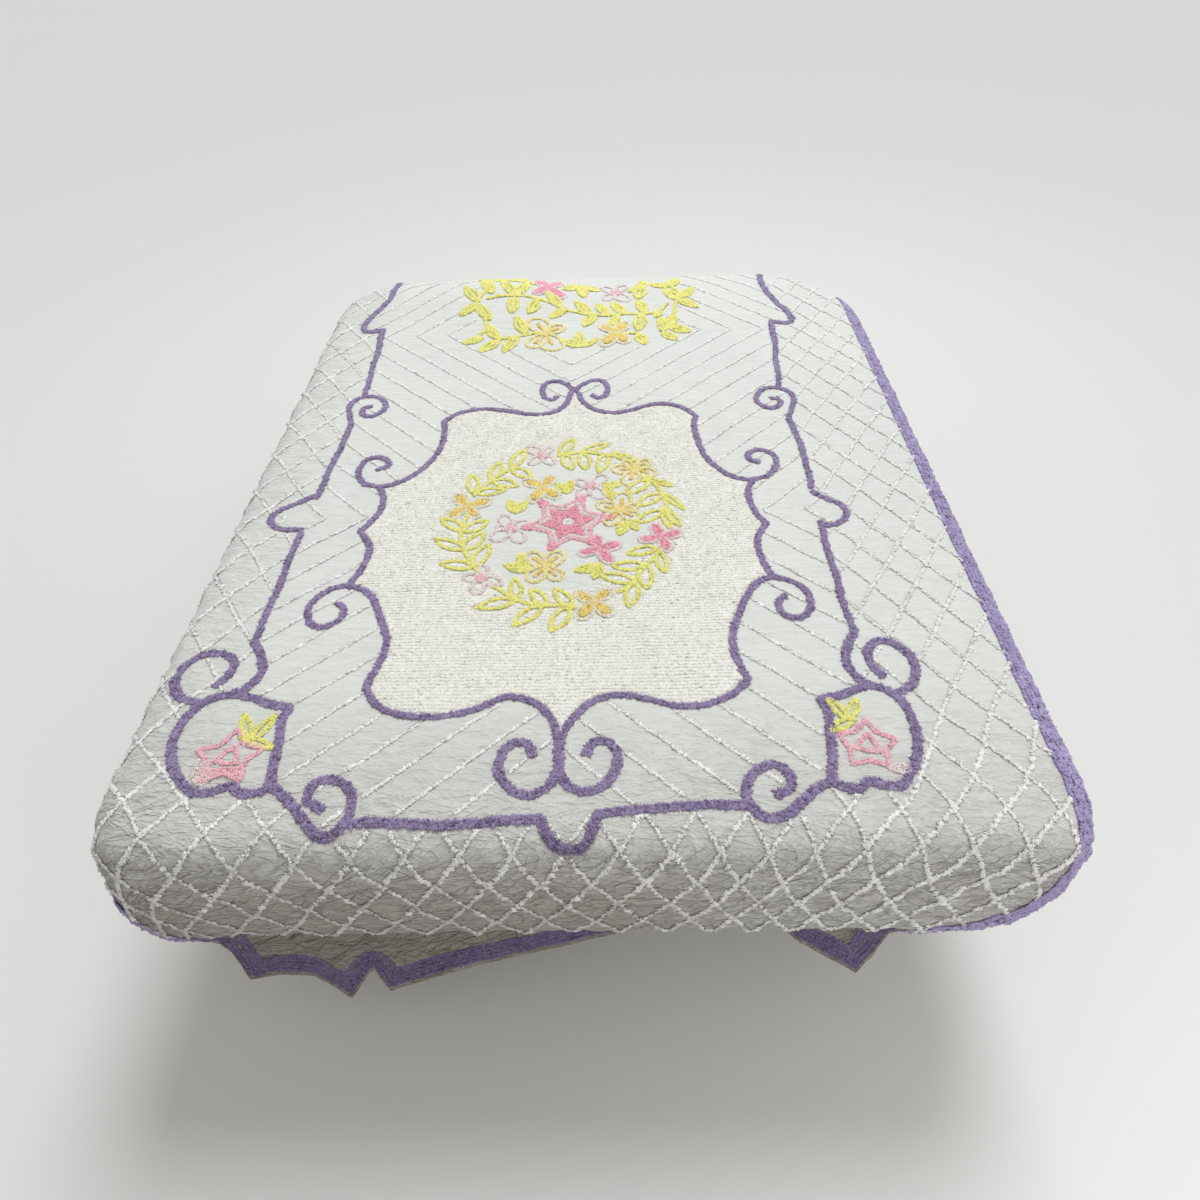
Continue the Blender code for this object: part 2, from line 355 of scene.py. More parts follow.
# ---------------------------------------------------------------- drawing on the flat cloth
def smooth(points):
    """A smooth line through points: a Catmull-Rom spline with 12 steps between neighbours."""
    per = 12
    p = np.asarray(points, float)
    if len(p) < 3:
        return np.linspace(p[0], p[-1], per + 1)
    padded = np.vstack((2 * p[0] - p[1], p, 2 * p[-1] - p[-2]))
    u = np.linspace(0, 1, per, endpoint=False)[None, :, None]
    a, b, c, d = (padded[k : len(padded) - 3 + k, None, :] for k in range(4))
    body = 0.5 * (2 * b + (c - a) * u + (2 * a - 5 * b + 4 * c - d) * u**2 + (3 * b - a - 3 * c + d) * u**3)
    return np.vstack((body.reshape(-1, 2), p[-1]))


def mirrored(line):
    """The same line on the other side of the middle."""
    return np.asarray(line) * np.array((-1.0, 1.0))


def steps_of(line):
    """The length of each step from one point of a line to the next."""
    return np.hypot(*np.diff(line, axis=0).T)


def divided(line, count):
    """The ends of a line, and the places that divide its length into count even steps."""
    run_to = np.append(0, np.cumsum(steps_of(line)))
    at = np.linspace(0, run_to[-1], count + 1)
    return np.stack([np.interp(at, run_to, line[:, k]) for k in (0, 1)], axis=1)


def sideways(way):
    """Unit directions a quarter turn to the left of the directions given."""
    way = way / np.maximum(np.hypot(*way.T)[:, None], 1e-9)
    return np.stack((-way[:, 1], way[:, 0]), axis=1)


def paced(line, spacing, shift=0.0):
    """Points every spacing metres along a line, moved sideways by shift."""
    line = np.asarray(line, float)
    line = line[np.append(True, steps_of(line) > 1e-7)]
    length = np.cumsum(steps_of(line))[-1]
    spots = divided(line, max(int(length / spacing), 1))
    if shift:
        spots = spots + shift * sideways(np.gradient(spots, axis=0))
    return spots


def rows_of(lines, spacing, shifts=(0.0,), jitter=0.0008):
    """All the tuft places of several lines, each worked in parallel rows at the shifts."""
    spots = np.vstack([paced(line, spacing, shift) for line in lines for shift in shifts])
    return spots + rng.normal(0, jitter, spots.shape)


def inside(spots, outline):
    """Whether each spot is inside a closed outline, by counting the edges to its right."""
    x, y = spots.T
    hit = np.zeros(len(spots), bool)
    for (ax, ay), (bx, by) in zip(outline, np.roll(outline, -1, axis=0)):
        if ay == by:
            continue
        crosses = (ay > y) != (by > y)
        hit ^= crosses & (x < ax + (bx - ax) * (y - ay) / (by - ay))
    return hit


def near(spots, others, reach):
    """Whether each spot is within reach of any of the others, on a fine square raster."""
    cell = 0.0025
    low = np.array((-1.2, -1.8))
    size = np.ceil(np.array((2.4, 3.6)) / cell).astype(int)
    mask = np.zeros(size, bool)
    span = int(np.ceil(reach / cell))

    def cells(places, *step):
        at = ((places - low) / cell).astype(int) + step
        return tuple(np.clip(at, 0, size - 1).T)

    for dx in range(-span, span + 1):
        for dy in range(-span, span + 1):
            if dx * dx + dy * dy <= (reach / cell) ** 2:
                mask[cells(others, dx, dy)] = True
    return mask[cells(spots, 0, 0)]


def hatch(outline, pitch, spacing, jitter):
    """Tuft places in level rows that fill a closed outline."""
    low, high = outline.min(axis=0), outline.max(axis=0)
    level = np.arange(low[1] + pitch / 2, high[1], pitch)
    place = np.arange(low[0], high[0], spacing)
    grid = np.stack(np.meshgrid(place, level), axis=-1)
    grid[..., 0] += (np.arange(len(level))[:, None] * 0.37 % 1) * spacing
    spots = grid.reshape(-1, 2) + rng.normal(0, jitter, (grid.size // 2, 2))
    return spots[inside(spots, outline)]


def turned(points, centre, degrees):
    """Points turned by degrees and moved to centre."""
    a = np.radians(degrees)
    rotate = np.array(((np.cos(a), np.sin(a)), (-np.sin(a), np.cos(a))))
    return np.asarray(points) @ rotate + np.asarray(centre)


def star(centre, degrees, points, outer, inner):
    """A closed star outline."""
    angle = np.radians(degrees) + np.pi * np.arange(2 * points + 1) / points
    reach = np.where(np.arange(2 * points + 1) % 2 == 0, outer, inner)
    return np.asarray(centre) + np.stack((reach * np.cos(angle), reach * np.sin(angle)), axis=1)


# ---------------------------------------------------------------- the scroll frame and the panel
def mm(*places):
    """Flat places in metres, from whole millimetres."""
    return np.array(places) / 1000


# Right half of each line, as (across, along) from the middle line of the figure
FRAME_FOOT = mm((76, -943), (140, -937), (200, -932), (306, -934))
FRAME_TAB = mm((-7, -947), (-1, -966), (14, -984), (36, -992), (56, -985), (69, -962), (76, -943))
FRAME_SCROLL = mm(
    (432, -892), (412, -902), (383, -926), (346, -952), (316, -949), (300, -922), (306, -883), (339, -861),
    (367, -876), (369, -903), (344, -914),
)
MEDALLION = mm(
    (443, -735), (482, -726), (520, -710), (552, -704), (588, -722), (607, -760), (608, -800), (596, -836),
    (578, -869), (553, -896), (525, -899), (498, -890), (468, -904), (434, -893), (440, -850), (444, -800),
    (449, -760), (443, -735),
)
MEDALLION_SCROLL = mm(
    (590, -722), (624, -708), (648, -672), (646, -632), (620, -605), (588, -606), (566, -630), (566, -660),
    (580, -684),
)
FRAME_NECK = mm((552, -704), (530, -688), (515, -655), (524, -622), (550, -580))
FRAME_SIDE = mm((550, -580), (548, -420), (546, -264))
FRAME_EAR = mm((546, -264), (576, -264), (600, -254), (614, -229), (604, -198), (570, -172), (542, -149))
FRAME_UPPER = mm((540, -149), (537, 0), (533, 140))
FRAME_CURL = mm(
    (533, 140), (549, 185), (558, 222), (551, 255), (527, 272), (495, 269), (473, 245), (467, 215), (481, 188),
    (503, 181), (521, 196), (519, 218), (503, 224),
)
FRAME_HEAD = mm((530, 272), (544, 450), (558, 632))
FRAME_SHOULDER = mm(
    (558, 632), (598, 624), (617, 642), (612, 700), (590, 765), (574, 825), (571, 900), (573, 990), (558, 1050),
    (515, 1086), (440, 1098),
)
FRAME_END = mm((440, 1098), (0, 1100))
STEM = mm((1, -800), (2, -835), (1, -870))
STEM_SCROLL = mm(
    (3, -866), (11, -886), (31, -901), (56, -903), (79, -887), (92, -853), (86, -821), (68, -807), (49, -814),
    (41, -834),
)
PANEL_FOOT = mm(
    (3, -800), (18, -760), (49, -727), (98, -715), (147, -725), (196, -740), (246, -740), (295, -720), (326, -686),
)
PANEL_LOW = mm((326, -686), (315, -640), (314, -588), (333, -529), (362, -472), (390, -442), (417, -432))
LOW_SCROLL = mm(
    (417, -432), (452, -448), (477, -484), (471, -526), (444, -547), (415, -533), (410, -503), (426, -486),
)
PANEL_WAIST_LOW = mm((414, -432), (399, -382), (394, -332), (403, -300), (422, -268))
PANEL_WAIST_HIGH = mm((422, -268), (403, -232), (394, -190), (396, -146), (410, -112))
PANEL_HIGH = mm((410, -112), (373, -101), (339, -68), (314, -18), (300, 45), (299, 100), (309, 149))
HIGH_SCROLL = mm((410, -112), (447, -98), (470, -60), (466, -16), (440, 3), (413, -10), (410, -36), (429, -48))
PANEL_HEAD = mm(
    (309, 149), (275, 187), (226, 202), (177, 193), (128, 173), (88, 165), (49, 180), (20, 217), (10, 258),
)
HEAD_SCROLL = mm((10, 258), (6, 278), (18, 300), (43, 323), (73, 319), (85, 286), (76, 249), (57, 235), (44, 250))


def settle(line):
    """The figure as the cloth lies: drawn in at the lower right, let out at the lower left, and
    its middle and its upper left corner a little to the right."""
    x, y = line.T
    low = ease(-y, 0.0, 0.25)
    middle = 0.012 * (1 - ease(np.abs(x), 0.12, 0.32))
    left_foot = ease(-x, 0.09, 0.15) * (1 - ease(-x, 0.33, 0.42)) * ease(-y, 0.66, 0.72)
    moved = x - 0.15 * np.maximum(x - 0.44, 0) * low - 0.10 * np.maximum(-0.50 - x, 0) * low + middle
    moved = moved + 0.014 * ease(-x, 0.30, 0.50) * ease(y, 0.25, 0.60)
    return np.stack((moved, y - 0.016 * left_foot), axis=1)


def hand(line):
    """The small wandering of a hand-guided needle: every place moves by up to a few mm."""
    x, y = line.T
    move_x = 0.0030 * np.sin(9 * y + 3 * x + 1.0) + 0.0014 * np.sin(41 * y - 23 * x)
    move_y = 0.0030 * np.sin(8 * x - 4 * y + 2.0) + 0.0014 * np.sin(37 * x + 29 * y)
    return line + np.stack((move_x, move_y), axis=1)


def drawn(line):
    """A line of the figure as it is worked and as it lies."""
    return hand(settle(line))


def both(tables):
    """Each half line, smoothed, and its mirror copy."""
    lines = [smooth(table) for table in tables]
    return [drawn(line) for line in lines] + [drawn(mirrored(line)) for line in lines]


def chain(tables):
    """One outline from several half lines laid end to end."""
    return np.vstack([smooth(table) for table in tables])


FRAME_HALF = chain(
    (
        FRAME_FOOT,
        mm((306, -932), (346, -952), (383, -926), (434, -893)),
        MEDALLION[3:14][::-1],
        FRAME_NECK,
        FRAME_SIDE,
        FRAME_EAR,
        FRAME_UPPER,
        mm((533, 140), (556, 210), (530, 272)),
        FRAME_HEAD,
        FRAME_SHOULDER,
        FRAME_END,
    )
)
FRAME_OUTLINE = drawn(np.vstack((((0.0, -0.935),), FRAME_HALF, mirrored(FRAME_HALF)[::-1])))
PANEL_HALF = chain((PANEL_FOOT, PANEL_LOW, PANEL_WAIST_LOW, PANEL_WAIST_HIGH, PANEL_HIGH, PANEL_HEAD))
PANEL_OUTLINE = drawn(np.vstack((PANEL_HALF, mirrored(PANEL_HALF)[::-1])))
MEDALLION_OUTLINES = both((MEDALLION,))
WREATH_MIDDLE = np.array((0.0, -0.247))
STAR_MIDDLE = np.array((0.010, -0.249))

BOLD_LINES = both((FRAME_SCROLL, MEDALLION, MEDALLION_SCROLL, FRAME_NECK, STEM_SCROLL))
BOLD_LINES += [
    hand(smooth(FRAME_TAB)),
    hand(smooth(FRAME_FOOT)),
    hand(smooth(mm((-306, -950), (-160, -952), (-7, -947)))),
]
SLIM_LINES = both(
    (
        STEM, FRAME_SIDE, FRAME_UPPER, FRAME_CURL, FRAME_HEAD, FRAME_SHOULDER, FRAME_END, PANEL_FOOT, PANEL_LOW,
        LOW_SCROLL, PANEL_WAIST_LOW, PANEL_WAIST_HIGH, PANEL_HIGH, HIGH_SCROLL, PANEL_HEAD, HEAD_SCROLL,
    )
)
SLIM_LINES += [
    drawn(smooth(FRAME_EAR) - (0.0, 0.014)),
    drawn(mirrored(smooth(FRAME_EAR)) + (0.0, 0.010)),
]
SCROLL_SPACING = 0.0044
BOLD_ROWS = (-0.0047, 0.0, 0.0047)
SLIM_ROWS = (-0.0033, 0.0, 0.0033)
PURPLE_SPOTS = np.vstack(
    (rows_of(BOLD_LINES, SCROLL_SPACING, BOLD_ROWS), rows_of(SLIM_LINES, SCROLL_SPACING, SLIM_ROWS))
)

# ---------------------------------------------------------------- wreaths and flowers
# Places along each stem. These tables too are in whole millimetres.
STEMS = (
    ((-22, -10), (35, 0), (90, -14), (122, -14)),
    ((172, -92), (200, -132), (215, -180), (224, -240)),
    ((200, -342), (182, -372), (160, -402), (142, -438), (112, -462)),
    ((22, -492), (-30, -496), (-85, -482), (-130, -444)),
    ((-205, -222), (-210, -272), (-200, -332), (-184, -372), (-165, -402)),
    ((-196, -156), (-165, -102), (-126, -55)),
    # round the head
    ((-270, 570), (-248, 625), (-268, 700), (-288, 755), (-272, 820), (-262, 900)),
    ((-130, 885), (-170, 925), (-230, 935), (-275, 915)),
    (
        (-262, 772), (-215, 790), (-150, 798), (-85, 775), (-30, 732), (35, 704), (85, 696), (140, 698),
        (200, 694), (240, 706), (272, 750),
    ),
    ((245, 588), (272, 625), (286, 690), (296, 750), (312, 805), (292, 872)),
    ((-205, 565), (-150, 582), (-100, 600)),
    ((140, 582), (180, 580)),
)
LEAVES = (
    # base x, base y, tip x, tip y, width
    (-22, -5, 10, 52, 30), (32, 0, 92, 36, 26), (-8, -8, 12, -62, 30), (34, -4, 42, -64, 30),
    (88, -12, 70, -76, 30), (104, -4, 152, -34, 26), (172, -96, 230, -126, 17), (180, -108, 134, -156, 34),
    (206, -156, 156, -196, 34), (210, -152, 256, -210, 18), (212, -214, 156, -249, 32), (214, -206, 243, -266, 22),
    (214, -225, 222, -272, 20), (192, -334, 132, -350, 30), (196, -344, 207, -408, 26), (166, -386, 102, -385, 30),
    (170, -386, 166, -452, 32), (146, -432, 78, -410, 32), (146, -436, 128, -500, 30), (26, -500, -12, -448, 30),
    (18, -500, -16, -562, 32), (-26, -496, -58, -450, 30), (-34, -500, -85, -546, 32), (-86, -482, -88, -420, 28),
    (-88, -484, -158, -500, 30), (-205, -276, -258, -232, 30), (-204, -278, -157, -242, 34),
    (-198, -336, -260, -300, 30), (-198, -338, -160, -280, 34), (-178, -388, -242, -374, 30),
    (-176, -388, -149, -318, 32), (-198, -146, -212, -76, 30), (-192, -146, -130, -136, 30),
    (-166, -100, -155, -32, 30), (-160, -102, -104, -120, 32), (-127, -55, -102, 16, 30),
    (-124, -58, -76, -92, 30),
    # round the head
    (-252, 572, -302, 548, 30), (-208, 552, -252, 502, 34), (-206, 560, -246, 640, 30), (-290, 740, -326, 688, 30),
    (-286, 756, -332, 838, 34), (-284, 742, -244, 668, 34), (-252, 802, -280, 888, 34), (-268, 900, -322, 962, 38),
    (-218, 930, -286, 992, 38), (-150, 900, -202, 994, 38), (-182, 802, -226, 880, 34), (-180, 802, -148, 884, 34),
    (-180, 786, -186, 706, 34), (-114, 778, -136, 706, 34), (-46, 748, -86, 836, 32), (-30, 736, -68, 684, 32),
    (46, 704, 0, 782, 32), (52, 698, 28, 632, 34), (94, 698, 64, 764, 30), (122, 690, 104, 632, 28),
    (142, 702, 108, 768, 30), (202, 700, 184, 780, 32), (194, 692, 178, 598, 36), (246, 706, 234, 672, 22),
    (252, 578, 284, 534, 32), (270, 608, 326, 582, 36), (252, 590, 244, 664, 30), (284, 680, 262, 604, 32),
    (306, 772, 356, 722, 34), (300, 770, 270, 852, 34), (318, 788, 352, 852, 32), (286, 872, 230, 888, 36),
    (290, 875, 314, 930, 34), (200, 862, 208, 920, 30), (202, 862, 188, 798, 40), (-136, 598, -168, 682, 32),
    (-160, 578, -186, 494, 36), (22, 512, -32, 552, 34), (24, 512, 14, 594, 30), (26, 512, 66, 552, 26),
    (180, 575, 200, 514, 32),
)
# Small solid leaves, in the same columns
BUDS = (
    (4, -150, -22, -116, 22), (4, -152, 10, -104, 20), (100, -168, 90, -114, 20), (96, -122, 122, -122, 16),
    (-102, -216, -121, -174, 20), (-102, -216, -81, -178, 20), (136, -246, 118, -292, 22),
    (144, -250, 158, -276, 14), (-66, -402, -84, -348, 22), (-66, -398, -112, -380, 20), (78, -384, 26, -402, 22),
    (76, -376, 66, -424, 20), (12, 880, -40, 866, 30), (12, 880, 70, 856, 24), (14, 872, 22, 812, 26),
    (198, 868, 162, 846, 26),
)
FLOWERS = (
    # kind, x, y, then (direction in degrees, length) of each petal
    ("peach", 152, -66, (178, 52), (112, 50), (52, 46), (-18, 50), (-104, 60)),
    ("peach", 118, -210, (82, 60), (152, 52), (242, 54), (-35, 50), (20, 40)),
    ("peach", -30, -386, (133, 52), (50, 52), (232, 52), (-52, 48)),
    ("slim", 65, -487, (140, 42), (44, 44), (234, 50), (-52, 46)),
    ("slim", -50, -132, (142, 48), (66, 46), (245, 50), (-44, 50)),
    ("slim", -208, -194, (118, 50), (24, 52), (222, 50), (-54, 42)),
    ("blush", -60, -8, (132, 50), (60, 36), (236, 44), (-50, 44)),
    ("blush", 54, -124, (150, 40), (48, 48), (240, 44), (-56, 50)),
    ("blush", -106, -266, (118, 46), (30, 40), (228, 54), (-62, 52), (180, 30)),
    ("blush", -156, -420, (172, 36), (88, 38), (262, 44), (-24, 46)),
    ("rose", 202, -300, (106, 40), (190, 40), (18, 42), (-72, 42)),
    ("rose", 77, -334, (96, 40), (200, 38), (20, 42), (-62, 44)),
    ("peach", -80, 592, (112, 92), (45, 66), (-68, 104), (246, 82)),
    ("slim", 116, 586, (130, 58), (62, 66), (246, 78), (-62, 70)),
    ("rose", -86, 866, (122, 72), (52, 56), (232, 56), (-50, 70)),
    ("blush", 118, 842, (130, 58), (58, 58), (236, 58), (-58, 70)),
)
yarns = {key: [] for key in ("yellow", "peach", "amber", "cream", "rose", "pink", "blush", "milk")}
solid = {key: [] for key in yarns}


def leaf_between(base, tip, width):
    """A pointed leaf loop from base to tip, fullest a little beyond its middle."""
    base, tip = np.asarray(base), np.asarray(tip)
    way = tip - base
    side = np.array((-way[1], way[0])) / np.hypot(*way)
    u = np.linspace(0, 1, 18)[:, None]
    half = 0.5 * width * np.sin(np.pi * u**0.9) ** 0.8
    return np.vstack((base + way * u + side * half, (base + way * u - side * half)[::-1]))


def petal(at, degrees, length, width):
    """A round-ended petal loop that starts and ends at the middle of its flower."""
    v = np.linspace(0, 1, 26)
    bow = np.sin(2 * np.pi * v) * np.sin(np.pi * v) ** 0.5
    outline = np.stack((0.5 * length * (1 - np.cos(2 * np.pi * v)), 0.60 * width * bow), axis=1)
    return turned(outline, at, degrees)


for table in STEMS:
    yarns["yellow"].append(smooth(mm(*table)))
for x, y, tip_x, tip_y, width in mm(*LEAVES):
    yarns["yellow"].append(leaf_between((x, y), (tip_x, tip_y), 0.92 * width - 0.004))
    if y > 0.5:
        yarns["yellow"].append(np.array(((x, y), (0.2 * x + 0.8 * tip_x, 0.2 * y + 0.8 * tip_y))))
for x, y, tip_x, tip_y, width in mm(*BUDS):
    solid["yellow"].append(leaf_between((x, y), (tip_x, tip_y), width))
for kind, x, y, *petals in FLOWERS:
    at = (x / 1000, y / 1000)
    for degrees, length in petals:
        length = length / 1000
        if kind == "peach":
            yarns["peach"].append(petal(at, degrees, length, 0.60 * length))
            yarns["amber"].append(turned(((0.002, 0), (0.66 * length, 0)), at, degrees))
        elif kind == "slim":
            yarns["cream"].append(petal(at, degrees, 1.06 * length, 0.52 * length))
            solid["amber"].append(petal(at, degrees, 0.86 * length, 0.26 * length))
        elif kind == "rose":
            yarns["blush"].append(petal(at, degrees, 1.12 * length, 0.56 * length))
            solid["rose"].append(petal(at, degrees, 0.98 * length, 0.36 * length))
        else:
            yarns["blush"].append(petal(at, degrees, length, 0.54 * length))
            yarns["pink"].append(turned(((0, 0), (0.26 * length, 0)), at, degrees))
    if kind == "blush":
        solid["pink"].append(star(at, 10, 5, 0.010, 0.006))

# The corner medallions: a five-pointed star, a small triangle in it and three leaves
MEDALLION_STARS = (
    # middle x, y, lean in degrees, outer and inner reach, then the base and tip of each leaf
    (500, -824, 84, 47, 29, (476, -774, 453, -735), (480, -774, 499, -733), (487, -776, 444, -797)),
    (-516, -836, 90, 55, 30, (-490, -802, -518, -748), (-486, -802, -463, -750), (-504, -797, -450, -818)),
)
for x, y, lean, outer, inner, *leaves in MEDALLION_STARS:
    at = (x / 1000, y / 1000)
    yarns["pink"].append(star(at, lean, 5, outer / 1000, inner / 1000))
    yarns["pink"].append(star(at, lean - 8, 3, 0.021, 0.012))
    for base_x, base_y, tip_x, tip_y in mm(*leaves):
        yarns["yellow"].append(leaf_between((base_x, base_y), (tip_x, tip_y), 0.014))
yarns["pink"].append(smooth(mm((-548, -868), (-515, -866), (-486, -868))))
yarns["pink"].append(smooth(mm((-543, -861), (-515, -859), (-492, -860))))
solid["blush"].append(petal((-0.560, -0.838), -70, 0.050, 0.026))
solid["blush"].append(petal((0.520, -0.868), -4, 0.034, 0.016))

# The star in the middle: a solid star in a pale one in a pink one, blunt at its tips
STAR_LEAN = 71
for k in range(6):
    tip = mm((94, 5), (94, -5), (79, -10), (70, 0), (79, 10))
    solid["rose"].append(turned(tip, STAR_MIDDLE, STAR_LEAN + 60 * k))
yarns["pink"].append(star(STAR_MIDDLE, STAR_LEAN, 6, 0.083, 0.050))
yarns["blush"].append(star(STAR_MIDDLE, STAR_LEAN, 6, 0.067, 0.040))
solid["rose"].append(star(STAR_MIDDLE, STAR_LEAN, 6, 0.054, 0.030))
yarns["milk"].append(star(STAR_MIDDLE, 0, 6, 0.0075, 0.0075))

PAIR_SPACING = 0.0040
PAIR_ROWS = (-0.0017, 0.0017)
FILL_SPACING = 0.0044
RIM_SPACING = 0.0042
STAR_EYE = 0.013
yarn_spots = {}
for key in yarns:
    lines, fills = [[hand(line) for line in group[key]] for group in (yarns, solid)]
    parts = [rows_of(lines, PAIR_SPACING, PAIR_ROWS, 0.0005)] if lines else []
    parts += [hatch(line, FILL_SPACING, FILL_SPACING, 0.0006) for line in fills]
    parts += [rows_of(fills, RIM_SPACING, (0.0,), 0.0005)] if fills else []
    yarn_spots[key] = np.vstack(parts)
off_middle = np.hypot(*(yarn_spots["rose"] - STAR_MIDDLE).T) > STAR_EYE
yarn_spots["rose"] = yarn_spots["rose"][off_middle]
FLOWER_SPOTS = np.vstack(list(yarn_spots.values()))

# ---------------------------------------------------------------- lattice, chevrons, panel, edge
LATTICE_ACROSS = 0.079
LATTICE_ALONG = 0.1225
LATTICE_LEFT_ACROSS = 0.096
LATTICE_LEFT_ALONG = 0.139
LATTICE_TURN = -0.72
LATTICE_NODE = -0.461
CHEVRON_ACROSS = 0.088
CHEVRON_APEX = 0.42
CHEVRON_LOW_SLOPE = 0.92
CHEVRON_LOW = -0.222
CHEVRON_HIGH = 0.594
LINE_SPACING = 0.0040
BAND_ROWS = 5
BAND_PITCH = 0.0068
BAND_FROM = 0.0105
PANEL_ROW = 0.0076
PANEL_STEP = 0.0041
# The middle of the head wreath, and half sizes of what is left bare round the wreaths: the disc
# without pile, and the box without chevron tufts and the one without their creases
HEAD_WREATH = (0.005, 0.79)
BARE_DISC = (0.182, 0.216)
HEAD_WREATH_BARE = (0.285, 0.260)
HEAD_WREATH_SMOOTH = (0.290, 0.265)


def chevron_phase(s, t):
    """How many chevron spacings a place lies from the innermost line: whole numbers are lines.
    The lines run outward from the two turning levels, mirrored on the other side."""
    below = np.minimum(t - CHEVRON_LOW, 0) / CHEVRON_LOW_SLOPE
    between = np.clip(t - CHEVRON_LOW, 0, CHEVRON_HIGH - CHEVRON_LOW)
    above = np.maximum(t - CHEVRON_HIGH, 0)
    return (np.abs(s) - CHEVRON_APEX + below - between + above) / CHEVRON_ACROSS


def pattern_to_cloth(spots):
    """Flat places on the cloth of places in the figure."""
    return spots + (PATTERN_SHIFT, 0.0)


def foot_hem(s):
    """The flat place along the cloth of the foot hem at s, in cloth coordinates."""
    return -FLAT_Y - foot_edge(np.clip(s, LEFT_HEM, RIGHT_HEM))[0]


def edge_line(inset):
    """The whole hem line, moved in by inset, in cloth coordinates."""
    s = np.linspace(LEFT_HEM, RIGHT_HEM, 500)
    foot = np.stack((s, foot_hem(s)), axis=1)
    right = np.stack((np.full(200, RIGHT_HEM), np.linspace(foot[-1, 1], HEAD_HEM, 202)[1:-1]), axis=1)
    head = np.stack((np.linspace(RIGHT_HEM, LEFT_HEM, 200), np.full(200, HEAD_HEM)), axis=1)
    left = np.stack((np.full(200, LEFT_HEM), np.linspace(HEAD_HEM, foot[0, 1], 202)[1:-1]), axis=1)
    line = paced(np.vstack((foot, right, head, left, foot[:1])), 0.012)
    moved = line + inset * sideways(np.roll(line, -3, axis=0) - np.roll(line, 3, axis=0))
    moved[:, 0] = np.clip(moved[:, 0], LEFT_HEM + inset, RIGHT_HEM - inset)
    moved[:, 1] = np.minimum(moved[:, 1], HEAD_HEM - inset)
    return moved


BAND_INNER = edge_line(BAND_FROM + BAND_PITCH * BAND_ROWS - 0.007)


def lattice_scale(s, right, left):
    """A size that is right over most of the cloth and left along its left side."""
    return right + (left - right) * ease(-s, 0.15, 0.60)


# Places across the cloth every 4 mm, and how many diamonds lie between the middle and each
STEP_PLACES = np.linspace(-1.2, 1.2, 601)
STEP_COUNTS = np.cumsum(1 / lattice_scale(STEP_PLACES, LATTICE_ACROSS, LATTICE_LEFT_ACROSS)) * 0.004
STEP_COUNTS -= STEP_COUNTS[len(STEP_COUNTS) // 2]
# Places along the cloth, and how many diamonds lie between LATTICE_NODE and each
ROW_PLACES = (-1.60, -1.105, -0.941, LATTICE_TURN, 1.50)
ROW_COUNTS = (-9.80, -5.50, -4.00, -2.114, 16.01)


def lattice_shift(s, t):
    """How far the lattice is moved across the foot, in diamonds; on the fall it leans inward at
    the right."""
    return 0.78 * ease(-t, 0.87, 1.10) * ease(s, 0.15, 0.50) - 0.32 * ease(-t, 0.72, 0.94)


def lattice_across(s, t):
    """How many diamonds lie between the middle line and s."""
    return np.interp(s, STEP_PLACES, STEP_COUNTS) + lattice_shift(s, t)


def lattice_along(s, t):
    """How many diamonds lie between LATTICE_NODE and t; they are longer along the left side."""
    longer = (1 / lattice_scale(s, LATTICE_ALONG, LATTICE_LEFT_ALONG) - 1 / LATTICE_ALONG) * (
        np.maximum(t, LATTICE_TURN) - LATTICE_NODE
    )
    return np.interp(t, ROW_PLACES, ROW_COUNTS) + longer


def lattice_lines(way):
    """One family of slanting lines over the whole cloth, in figure coordinates: where the steps
    across differ from way times the steps along by a whole number and a half."""
    t = np.arange(-1.60, 1.50, 0.01)
    lines = []
    for step in range(-40, 41):
        s = 0 * t
        for _ in range(16):
            count = step + 0.5 + way * lattice_along(s, t) - lattice_shift(s, t)
            s = np.interp(count, STEP_COUNTS, STEP_PLACES)
        wander = 0.0024 * np.sin(t * 13 + step) + 0.0013 * np.sin(t * 47 + 2 * step)
        kept = np.abs(s) < 1.15
        if kept.sum() > 2:
            lines.append(np.stack((s + wander, t), axis=1)[kept])
    return lines


def chevron_lines():
    """The slanting lines of the right half, and their mirror copies on the left half."""
    t = np.arange(-0.96, 1.12, 0.008)
    lines = []
    for step in range(-12, 24):
        s = step * CHEVRON_ACROSS - CHEVRON_ACROSS * chevron_phase(0 * t, t)
        line = np.stack((s + 0.0020 * np.sin(t * 15 + step), t), axis=1)
        on_side = s > 0
        for stretch in np.split(line, np.flatnonzero(np.diff(on_side)) + 1):
            if stretch[0, 0] > 0 and len(stretch) > 2:
                lines += [stretch, mirrored(stretch)]
    return lines


def lattice_spots(way):
    """The tufts of one family, left out where the frame, the band and the plain strip lie."""
    spots = rows_of(lattice_lines(way), LINE_SPACING, jitter=0.0011)
    cloth = pattern_to_cloth(spots)
    keep = inside(cloth, BAND_INNER) & ~inside(spots, FRAME_OUTLINE)
    keep &= beyond_foot(cloth[:, 1]) < PLAIN_FROM + 0.006 * np.sin(31 * spots[:, 0])
    return spots[keep & ~near(spots, PURPLE_SPOTS, 0.007)]


def in_medallion(spots):
    """Whether each spot is in one of the two corner medallions."""
    right, left = MEDALLION_OUTLINES
    return inside(spots, right) | inside(spots, left)


def in_box(spots, middle, half):
    """Whether each spot is in a box of these half sizes round middle."""
    return (np.abs(spots - middle) < half).all(axis=1)


def in_bare_disc(spots):
    """Whether each spot is in the round of the panel where the wreath lies, without pile."""
    return np.hypot(*((spots - WREATH_MIDDLE) / BARE_DISC).T) < 1


